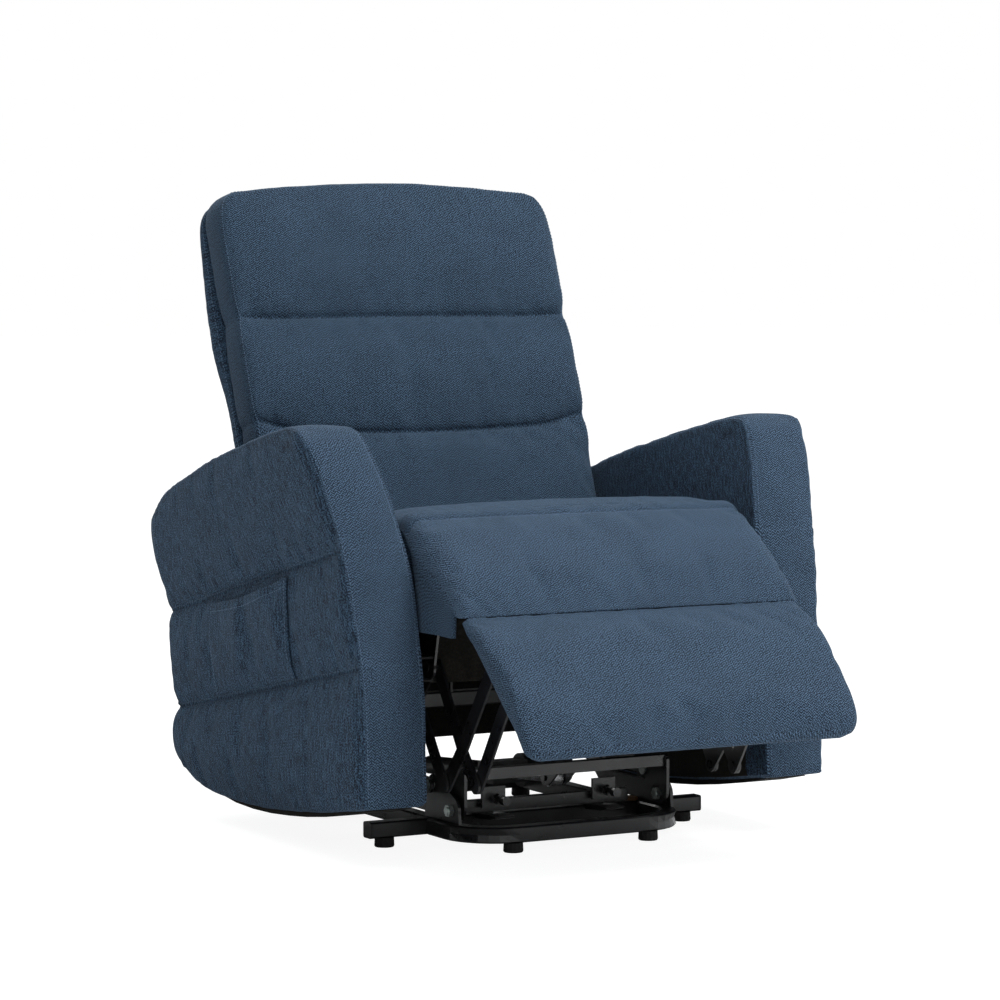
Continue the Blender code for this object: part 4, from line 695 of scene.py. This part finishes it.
def shell_place(a, b, c):
    d, _, bow, corner, _ = back_station(b)
    t, wide = d / BACK_LENGTH, back_wide(d)
    puff = math.sin(math.pi * min(max((t - 0.28) / 0.66, 0.0), 1.0))
    full = ease((d - SHELL_FULL[0]) / SHELL_FULL[1])
    half = lerp(*BACK_HALF, wide) - 0.0005 - 0.0055 * (1 - wide) - corner * CORNER_PULL
    half += (0.003 + 0.006 * puff) * full * (c < 0.5)
    thick = lerp(SHELL_LOW, SHELL_HIGH, t) * (0.6 + 0.4 * end_round(d, BACK_LENGTH, 0.030))
    thick += (0.009 + 0.003 * full) * puff
    h = lerp(-BACK_DEPTH - 0.0002 - thick, -BACK_DEPTH - 0.0002, (c + 1) / 2)
    return spot(a * half, along(along(BACK_BASE, BACK_UP, d + bow * (1 - a * a)), BACK_OUT, h))


def seat_place(a, b, c):
    a = spread(a)
    length = SEAT_REAR[0] - SEAT_FRONT[0]
    t = (b + 1) / 2
    d = t * length
    rear_round = (1 - end_round(d, length, 0.030)) * (t >= 0.5)
    top = lerp(SEAT_FRONT[1] + 0.004, SEAT_REAR[1], t) - 0.016 * rear_round
    top += SEAT_CROWN * (1 - a * a) - shoulder(abs(a) * SEAT_TOP - SEAT_FLAT, SEAT_SOFT)
    half = SEAT_HALF - 0.008 * rear_round
    return spot(a * half, (SEAT_FRONT[0] + d, lerp(SEAT_DECK, top, (c + 1) / 2)))


FLAP_UPPER = [(-0.1030, 0.5210), (-0.1180, 0.5215), (-0.1290, 0.5165), (-0.1700, 0.4900), (-0.2100, 0.4620),
              (-0.2500, 0.4300), (-0.2820, 0.4000), (-0.2985, 0.3790)]
FLAP_LOWER = [(-0.1030, 0.4990), (-0.1180, 0.4925), (-0.1500, 0.4620), (-0.1900, 0.4290), (-0.2300, 0.4010),
              (-0.2560, 0.3880), (-0.2800, 0.3825), (-0.2955, 0.3785)]


def flap_place(a, b, c):
    a = spread(a)
    t = (b + 1) / 2
    low, high = curve_point(FLAP_LOWER, t), curve_point(FLAP_UPPER, t)
    half = FLAP_HALF + 0.004 * math.sin(math.pi * min(1.0, t * 1.4)) * (t < 0.715)
    soft = lerp(*FLAP_SOFT, ease((t - 0.3) / 0.6))
    away = ((high[0] - low[0]), (high[1] - low[1]))
    size = math.hypot(*away)
    out = (FLAP_CROWN * (1 - a * a) - shoulder(abs(a) * half - half + soft, soft)) * (c + 1) / 2
    return spot(a * half, along(mix(low, high, (c + 1) / 2), (away[0] / size, away[1] / size), out))


def pad_place(a, b, c):
    a = spread(a)
    t = (b + 1) / 2
    d = lerp(-PAD_TUCK, PAD_LENGTH, t)
    corner = PAD_CORNERS[a >= 0]
    end = 1.0 if t < 0.5 else end_round(d, PAD_LENGTH, corner)
    half = lerp(*PAD_HALF, t) + 0.003 * math.sin(math.pi * t) - 0.6 * corner * (1 - end)
    half -= 0.020 * (1 - c) / 2  # the sides slope in towards the back
    rise = 1 - (1 - min(1.0, t / 0.45)) ** 2.4
    if t > 0.72:
        rise *= 1 - 0.75 * ((t - 0.72) / 0.28) ** 2.2
    high = PAD_FRONT * rise * (0.8 + 0.2 * (1 - a * a)) + 0.0012
    low = -PAD_BACK + 0.010 * (1 - end)
    if t < 0.12:
        low = lerp(-0.006, low, ease(t / 0.12))
    if c < -0.99 and 0.050 < d < PAD_LENGTH - 0.024 and abs(a) * half < 0.264:
        low += 0.004  # the board lies in a shallow recess
    h = lerp(low, high - shoulder(abs(a) * half - half + PAD_SOFT, PAD_SOFT), (c + 1) / 2)
    return spot(a * half, along(along(PAD_TOP, PAD_RUN, d), PAD_OUT, h))


WING_REAR = [(-0.165, 0.3465), (-0.150, 0.420), (-0.130, 0.492)]
WING_FRONT = [(-0.2705, 0.3465), (-0.2710, 0.372), (-0.2700, 0.392)]
WING_TOP = [(-0.130, 0.492), (-0.170, 0.462), (-0.225, 0.424), (-0.2700, 0.392)]


def wing_place(a, b, c):
    u, v = (b + 1) / 2, (c + 1) / 2
    bottom = mix(WING_REAR[0], WING_FRONT[0], u)
    sides = bottom, curve_point(WING_TOP, u), curve_point(WING_REAR, v), curve_point(WING_FRONT, v)
    p = patch(u, v, sides, ((WING_REAR[0], WING_FRONT[0]), (WING_TOP[0], WING_TOP[-1])))
    fold = 0.0016 * math.sin(u * 7.5 + 0.8) * (1 - v)
    return spot(0.2905 + 0.0042 * a + fold, p)


def flap_lining_place(a, b, c):
    v = (c + 1) / 2
    sag = 0.003 * math.sin(a * 9.0) * (1 - v)
    return spot(a * 0.2855, (lerp(-0.258, -0.252, v) + 0.0008 * b + sag, lerp(0.352, 0.404, v)))


def valance_place(a, b, c):
    v = (c + 1) / 2
    sag = 0.0022 * math.sin(a * 11.0 + 1.0) * (1 - v)
    return spot(a * 0.2400, (-0.0830 + 0.0008 * b + sag, lerp(0.257 + 0.002 * math.sin(a * 5), 0.3465, v)))


def rear_lining_place(a, b, c):
    u = (b + 1) / 2
    sag = 0.003 * math.sin(math.pi * u) + 0.001 * math.sin(a * 8.0)
    return spot(a * 0.268, (lerp(0.262, 0.345, u), 0.3895 + 0.0008 * c - sag))


# ---- settings
COLOUR = {"subtype": "COLOR", "size": 4, "min": 0.0, "max": 1.0}


class ReclinerUpholstery(bpy.types.PropertyGroup):
    dark: bpy.props.FloatVectorProperty(name="Shade", description="Colour deep in the pile",
                                        default=srgb("#101a26"), **COLOUR)
    middle: bpy.props.FloatVectorProperty(name="Cloth", description="Colour of the cloth as a whole",
                                          default=srgb("#263648"), **COLOUR)
    light: bpy.props.FloatVectorProperty(name="Pile", description="Colour of the pile's tips",
                                         default=srgb("#4c647c"), **COLOUR)
    pressure: bpy.props.FloatProperty(name="Filling", description="Air pressure that fills the padding", default=4.0,
                                      min=0.0, max=20.0)
    seam: bpy.props.FloatProperty(name="Seam depth", description="How far a sewn line sinks", default=0.0024,
                                  min=0.0, max=0.01, unit="LENGTH")


class ReclinerStage(bpy.types.PropertyGroup):
    lens: bpy.props.FloatProperty(name="Lens", description="Focal length of the camera, in millimetres",
                                  default=133.812, min=10.0, max=400.0)
    key: bpy.props.FloatProperty(name="Key lamp", description="Power of the large lamp", default=124.0, min=0.0,
                                 unit="POWER")
    fill: bpy.props.FloatProperty(name="Surrounding light", description="Strength of the pale room", default=0.56,
                                  min=0.0, max=2.0)


# ---- operators
class RECLINER_OT_stage(bpy.types.Operator):
    """Camera, soft studio light, pale floor and backdrop"""
    bl_idname = "recliner.stage"
    bl_label = "Stage"

    def execute(self, context):
        scene, stage = context.scene, context.scene.recliner_stage
        camera = bpy.data.cameras.new("camera")
        camera.sensor_width = 36.0
        camera.lens = stage.lens
        camera.clip_end = 60.0
        holder = linked("camera", camera)
        yaw, pitch = math.radians(29.1), math.atan(254 / 3717)
        ahead = Vector((math.sin(yaw) * math.cos(pitch), math.cos(yaw) * math.cos(pitch), -math.sin(pitch)))
        right = Vector((math.cos(yaw), -math.sin(yaw), 0.0))
        down = ahead.cross(right)
        at = Vector((-2.86508541, -5.03125431 - MID_Y, 0.92))
        holder.matrix_world = Matrix([[right[k], -down[k], -ahead[k], at[k]] for k in range(3)] + [[0, 0, 0, 1]])
        scene.camera = holder

        bm = bmesh.new()
        bmesh.ops.create_grid(bm, x_segments=1, y_segments=1, size=30.0)
        floor = linked("floor", bm)
        mat, tree, shader = blank("white_paper", Base_Color=srgb("#f3f3f3"), Roughness=0.9, Specular_IOR_Level=0.1)
        rays = add(tree, "LightPath")
        glow = add(tree, "Emission", {"Color": (1, 1, 1, 1), "Strength": 1.3})
        half = add(tree, "Math", {1: 0.70}, {0: rays.outputs["Is Camera Ray"]}, operation="MULTIPLY")
        both = add(tree, "MixShader", links={0: half, 1: shader, 2: glow})
        tree.links.new(both.outputs[0], tree.nodes["Material Output"].inputs[0])
        floor.data.materials.append(mat)

        world = bpy.data.worlds.new("pale_room")
        world.use_nodes = True
        tree = world.node_tree
        room = tree.nodes["Background"]
        room.inputs[0].default_value = (0.96, 0.98, 1.0, 1.0)
        # the room is brightest before, above and to the right of the chair
        toward = add(tree, "VectorMath", {1: (0.60, -0.30, 0.74)}, {0: add(tree, "TexCoord").outputs["Generated"]},
                     operation="DOT_PRODUCT")
        level = add(tree, "MapRange", {1: -0.7, 2: 0.9, 3: stage.fill * 0.03, 4: stage.fill * 1.60},
                    {0: toward.outputs["Value"]})
        tree.links.new(level.outputs[0], room.inputs[1])
        rays = add(tree, "LightPath")
        seen = add(tree, "Math", links={0: rays.outputs["Is Camera Ray"], 1: rays.outputs["Is Transmission Ray"]},
                   operation="MAXIMUM")
        white = add(tree, "Background", {0: (1, 1, 1, 1), 1: 1.0})
        both = add(tree, "MixShader", links={0: seen, 1: room, 2: white})
        tree.links.new(both.outputs[0], tree.nodes["World Output"].inputs[0])
        scene.world = world

        def lamp(name, power, size, where, target):
            light = bpy.data.lights.new(name, "AREA")
            light.energy, light.size = power, size
            made = linked(name, light)
            made.location = where
            made.rotation_euler = (Vector(target) - Vector(where)).to_track_quat("-Z", "Y").to_euler()

        lamp("key", stage.key, 2.0, (1.0, -1.7, 3.8), (0, 0, 0.4))
        lamp("front", stage.key * 0.05, 2.5, (-1.4, -3.8, 1.2), (0, 0, 0.3))
        lamp("rear", stage.key * 0.35, 2.0, (-0.6, 2.6, 2.8), (0, 0.2, 0.6))
        scene.view_settings.view_transform = "Standard"
        return {"FINISHED"}


class RECLINER_OT_metalwork(bpy.types.Operator):
    """Finishes of the steel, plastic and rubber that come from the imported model"""
    bl_idname = "recliner.metalwork"
    bl_label = "Metalwork"

    def execute(self, context):
        kinds = {"black_steel": "powder", "zinc": "zinc", "bright_steel": "drawn", "black_plastic": "abs",
                 "rubber": "rubber", "brown_rubber": "gum", "black_cloth": "lining", "black_board": "lining",
                 "fabric_blue": "chenille"}
        slots = {row["node"]: row["material_slot"] for row in frame["record"]["subparts"]}
        for name, obj in frame["nodes"].items():
            mat = finish_of(kinds[slots[name]])
            if not obj.material_slots:
                obj.data.materials.append(mat)
            for slot in obj.material_slots:
                slot.material = mat
        return {"FINISHED"}


class RECLINER_OT_arms(bpy.types.Operator):
    """Both padded arms: outer panel in three bands, one strip round the edge, lined inner panel"""
    bl_idname = "recliner.arms"
    bl_label = "Arms"

    def execute(self, context):
        cloth = context.scene.recliner_upholstery
        counts = (12, 84, 66)
        block = Block("arm_cover_left", counts, arm_place, smooth=5,
                      rounded=lambda i, j, k: i < 3 and (i > 0 or min(j, counts[1] - j, k, counts[2] - k) < 4))
        held = {i: 1.0 for i in block.side(0, 0) + block.side(2, 0) + block.ring(0, 1)}
        seams = []
        for level in (22, 44):
            line = block.row(1, a=-1, c=level)
            for k, index in enumerate(line):
                held[index] = ease((k / counts[1] - 0.04) / 0.16)
            seams.append(line[6:])
        stuff(block, held, cloth.pressure, 0.006, loose=0.01)
        obj = block.obj
        refine(obj)
        sew(obj, seams, depth=cloth.seam, width=0.0026, soft=0.0022, pucker=0.0016, pitch=0.019, reach=0.05)
        sew(obj, [block.ring(0, 1), block.ring(0, 0)], depth=0.0012, soft=0.0, pucker=0.0004, pitch=0.02, reach=0.03)
        rumple(obj, 0.0010, 0.07, 1.3)
        other = mirrored(obj, "arm_cover_right")
        for piece, side in ((obj, "left"), (other, "right")):
            dress(piece, finish_of("chenille_nap_painted_shade"), finish_of("chenille"), finish_of("lining"))
            for face in piece.data.polygons:
                c = face.center
                y, z = c.y + MID_Y, c.z
                # faces looking up or ahead keep the plain cloth; the side panels keep the darker copy, painted shade
                if abs(face.normal.x) < 0.72:
                    face.material_index = 1
                elif face.normal.x * c.x < 0 and z < 0.372 and y > lerp(-0.150, -0.120, z / 0.4):
                    face.material_index = 2
            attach(piece, "chair_frame")
            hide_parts(f"arm_{side}")
            lines = [points_of(piece, block.ring(0, 1, 1)), points_of(piece, block.ring(0, 0, 1))]
            lines = [[p for p in line if p.z > 0.10] for line in lines]
            topstitch(f"arm_stitching_{side}", "chair_frame", piece, lines, finish_of("thread"))
        self.pocket(context, other)
        return {"FINISHED"}

    def pocket(self, context, arm):
        """Sewn pocket on the sitter's right arm, sagging open at its mouth."""
        tree = surface(arm)
        columns, rows = 44, 30

        def place(a, b, c):
            u, v = (b + 1) / 2, (c + 1) / 2
            y = lerp(*POCKET_Y, u)
            mouth = 0.010 + 0.010 * math.sin(math.pi * u)
            z = lerp(on_line(LOWER_SEAM, y) + 0.004, on_line(UPPER_SEAM, y) - mouth, v)
            hit, _, _, _ = tree.ray_cast(Vector((-1.0, y - MID_Y, z)), Vector((1, 0, 0)))
            x = hit.x if hit else -0.41
            sewn = min(u, 1 - u) * 0.288 / 0.045
            open_by = ease(min(sewn, v / 0.35, 1.0))
            slack = 0.0045 * noise.noise(Vector((y / 0.045, z / 0.07, 2.0))) * open_by
            gape = 0.0075 * open_by * (0.35 + 0.65 * v * v)
            return Vector((x - 0.0008 - gape - slack - 0.0016 * (a + 1) - 0.0012 * (v > 0.93), y - MID_Y, z))

        block = Block("side_pocket_cover", (2, columns, rows), place, smooth=1)
        obj = block.obj
        refine(obj)
        # the pocket wears the darker copy of the cloth: painted shade
        dress(obj, finish_of("chenille_nap_painted_shade"))
        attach(obj, "chair_frame")
        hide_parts("side_pocket")
        lines = [points_of(obj, block.row(2, a=-1, b=k)) for k in (1, columns - 1)]
        lines.append(points_of(obj, block.row(1, a=-1, c=rows - 3)))
        topstitch("side_pocket_stitching", "chair_frame", obj, lines, finish_of("thread"))


class RECLINER_OT_back(bpy.types.Operator):
    """Back cushion with three rolls, and the padded shell behind it"""
    bl_idname = "recliner.back"
    bl_label = "Back"

    def execute(self, context):
        cloth = context.scene.recliner_upholstery
        counts = (64, 66, 6)
        block = Block("back_pad", counts, back_place, smooth=3,
                      rounded=lambda i, j, k: k >= 4 and (min(i, counts[0] - i) < 3 or j > counts[1] - 3))
        held = {i: 1.0 for i in block.side(2, 0) + block.side(1, 1) + block.ring(1, 1, 1) + block.ring(1, 1, 2)}
        for index, key in enumerate(block.keys):
            low = 1 - ease((key[1] / counts[1] - 0.30) / 0.15)
            if key[0] in (0, counts[0]):
                held[index] = max(held.get(index, 0.0), low, 0.6)
        channels = []
        for level in (22, 44):
            line = block.row(0, b=level, c=-1)
            for k, index in enumerate(line):
                held[index] = max(held.get(index, 0.0), ease(min(k, counts[0] - k) / 5))
            channels.append(line[2:-2])
        stuff(block, held, cloth.pressure, 0.009, loose=0.01)
        obj = block.obj
        refine(obj)
        sew(obj, channels, depth=0.0036, width=0.0026, soft=0.0030, pucker=0.0020, pitch=0.021, reach=0.06)
        border = block.ring(2, 1)
        sew(obj, [border], depth=0.0012, soft=0.0, pucker=0.0004, pitch=0.02, reach=0.02)
        rumple(obj, 0.0012, 0.09, 4.0)
        # the back pad wears a darker copy of the cloth: painted shade
        dress(obj, finish_of("chenille_down_painted_shade"))
        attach(obj, "backrest")
        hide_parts("back_cushion")
        line = [p for p in points_of(obj, block.row(1, a=1, c=-1) + block.row(0, b=-2, c=-1)
                                     + block.row(1, a=-2, c=-1)[::-1]) if p.z > 0.55]
        topstitch("back_pad_stitching", "backrest", obj, [line], finish_of("thread"))

        counts = (56, 54, 4)
        shell = Block("back_shell_cover", counts, shell_place, smooth=2)
        held = {i: 1.0 for i in shell.side(2, 1) + shell.ring(2, 0)}
        stuff(shell, held, cloth.pressure, 0.006)
        piece = shell.obj
        refine(piece)
        sew(piece, [shell.ring(2, 0)], depth=0.0018, width=0.004, pucker=0.0008)
        rumple(piece, 0.0008, 0.1, 6.0)
        # the shell wears the darker copy of the cloth: painted shade
        dress(piece, finish_of("chenille_nap_painted_shade"))
        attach(piece, "backrest")
        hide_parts("back_shell")
        line = [p for p in points_of(piece, shell.ring(2, 1, 1)) if p.z > 0.5]
        topstitch("back_stitching", "backrest", piece, [line], finish_of("thread"))
        self.brackets()
        return {"FINISHED"}

    def brackets(self):
        """Flat steel bars from the shell down to its pivots."""
        top = along(along(BACK_BASE, BACK_UP, 0.055), BACK_OUT, -BACK_DEPTH - 0.014)
        run = Vector((0, top[0] - BACK_PIVOT[0], top[1] - BACK_PIVOT[1]))
        for side, sign in (("left", 1), ("right", -1)):
            bm = bmesh.new()
            length = run.length + 0.014
            bmesh.ops.create_cube(bm, size=1.0, matrix=Matrix.Diagonal((0.004, 0.028, length, 1)))
            ends = [e for e in bm.edges if abs(e.verts[0].co.y - e.verts[1].co.y) < 1e-6
                    and e.verts[0].co.z < 0 and e.verts[1].co.z < 0]
            bmesh.ops.bevel(bm, geom=ends, offset=0.0135, affect="EDGES", segments=7, profile=0.5, material=-1)
            angle = math.atan2(-run.y, run.z)
            middle = spot(sign * 0.2865, BACK_PIVOT) + run.normalized() * (length / 2 - 0.014)
            bmesh.ops.transform(bm, verts=bm.verts, matrix=Matrix.Translation(middle) @ Matrix.Rotation(angle, 4, "X"))
            piece_of(f"back_bracket_{side}", bm, "backrest", finish_of("powder"))


class RECLINER_OT_seat(bpy.types.Operator):
    """Seat cushion, and the black lining behind it"""
    bl_idname = "recliner.seat"
    bl_label = "Seat"

    def execute(self, context):
        cloth = context.scene.recliner_upholstery
        counts = (60, 40, 12)
        block = Block("seat_pad", counts, seat_place, smooth=3)
        top = set(block.side(2, 1)) - set(block.ring(2, 1))
        held = {i: 1.0 for i in range(len(block.keys)) if i not in top}
        stuff(block, held, cloth.pressure, 0.010, loose=0.01)
        obj = block.obj
        refine(obj)
        rumple(obj, 0.0010, 0.10, 8.0)
        dress(obj, finish_of("chenille"))
        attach(obj, "seat")
        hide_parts("seat_cushion")
        made = black_cloth("seat_rear_lining", (60, 16, 2), rear_lining_place)
        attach(made.obj, "seat")
        return {"FINISHED"}


class RECLINER_OT_front_flap(bpy.types.Operator):
    """Sloping front of the seat, with a wing of cloth down each side and black lining behind"""
    bl_idname = "recliner.front_flap"
    bl_label = "Front flap"

    def execute(self, context):
        cloth = context.scene.recliner_upholstery
        counts = (64, 34, 5)
        block = Block("front_flap_pad", counts, flap_place, smooth=3)
        free = set(block.side(2, 1)) - set(block.ring(2, 1))
        line = block.row(0, b=5, c=-1)
        held = {i: 1.0 for i in range(len(block.keys)) if i not in free}
        held.update({i: 1.0 for i in line})
        stuff(block, held, cloth.pressure, 0.009, loose=0.02)
        obj = block.obj
        refine(obj)
        sew(obj, [line], depth=0.0024, width=0.0028, pucker=0.0007, pitch=0.02, reach=0.04)
        rumple(obj, 0.0006, 0.09, 11.0)
        dress(obj, finish_of("chenille"))
        stitches = points_of(obj, line[2:-2])
        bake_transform(obj)
        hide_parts("front_flap")
        topstitch("front_flap_stitching", "front_flap", obj, [stitches], finish_of("thread"))
        for side in ("left", "right"):
            wing = Block(f"flap_wing_{side}", (2, 26, 24), wing_place, smooth=1)
            piece = wing.obj
            refine(piece)
            if side == "right":
                flip(piece.data)
            dress(piece, finish_of("chenille"))
            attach(piece, "front_flap")
        made = black_cloth("flap_lining", (60, 2, 12), flap_lining_place)
        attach(made.obj, "front_flap")
        made = black_cloth("seat_valance", (60, 2, 20), valance_place)
        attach(made.obj, "seat")
        return {"FINISHED"}


class RECLINER_OT_footrest(bpy.types.Operator):
    """Padded footrest"""
    bl_idname = "recliner.footrest"
    bl_label = "Footrest"

    def execute(self, context):
        cloth = context.scene.recliner_upholstery
        counts = (64, 30, 6)
        block = Block("footrest_cover", counts, pad_place, smooth=3)
        free = set(block.side(2, 1))
        held = {i: 1.0 for i, key in enumerate(block.keys) if i not in free and key[2] < 4}
        held.update({i: 1.0 for i in block.row(0, b=0, c=-1) + block.row(0, b=1, c=-1)})
        stuff(block, held, cloth.pressure, 0.008, loose=0.02)
        obj = block.obj
        refine(obj)
        sew(obj, [block.row(0, b=1, c=-1)], depth=0.0, width=0.004, pucker=0.0012, pitch=0.024, reach=0.06)
        rumple(obj, 0.0006, 0.08, 15.0)
        dress(obj, finish_of("chenille"))
        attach(obj, "footrest")
        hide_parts("footrest_pad")
        return {"FINISHED"}


class RECLINER_PT_panel(bpy.types.Panel):
    bl_idname = "RECLINER_PT_panel"
    bl_label = "Lift Recliner"
    bl_space_type = "VIEW_3D"
    bl_region_type = "UI"
    bl_category = "Lift Recliner"

    def draw(self, context):
        layout = self.layout
        for group in (context.scene.recliner_upholstery, context.scene.recliner_stage):
            for name in group.__annotations__:
                layout.prop(group, name)
        for operator in OPERATORS:
            layout.operator(operator.bl_idname)


OPERATORS = (RECLINER_OT_stage, RECLINER_OT_metalwork, RECLINER_OT_arms, RECLINER_OT_back, RECLINER_OT_seat,
             RECLINER_OT_front_flap, RECLINER_OT_footrest)
CLASSES = (ReclinerUpholstery, ReclinerStage) + OPERATORS + (RECLINER_PT_panel,)


def register():
    for cls in CLASSES:
        bpy.utils.register_class(cls)
    bpy.types.Scene.recliner_upholstery = bpy.props.PointerProperty(type=ReclinerUpholstery)
    bpy.types.Scene.recliner_stage = bpy.props.PointerProperty(type=ReclinerStage)


def unregister():
    del bpy.types.Scene.recliner_upholstery
    del bpy.types.Scene.recliner_stage
    for cls in reversed(CLASSES):
        bpy.utils.unregister_class(cls)


def main():
    register()
    bpy.ops.recliner.stage()
    bpy.ops.recliner.metalwork()
    bpy.ops.recliner.arms()
    bpy.ops.recliner.back()
    bpy.ops.recliner.seat()
    bpy.ops.recliner.front_flap()
    bpy.ops.recliner.footrest()


if __name__ == "__main__":
    main()
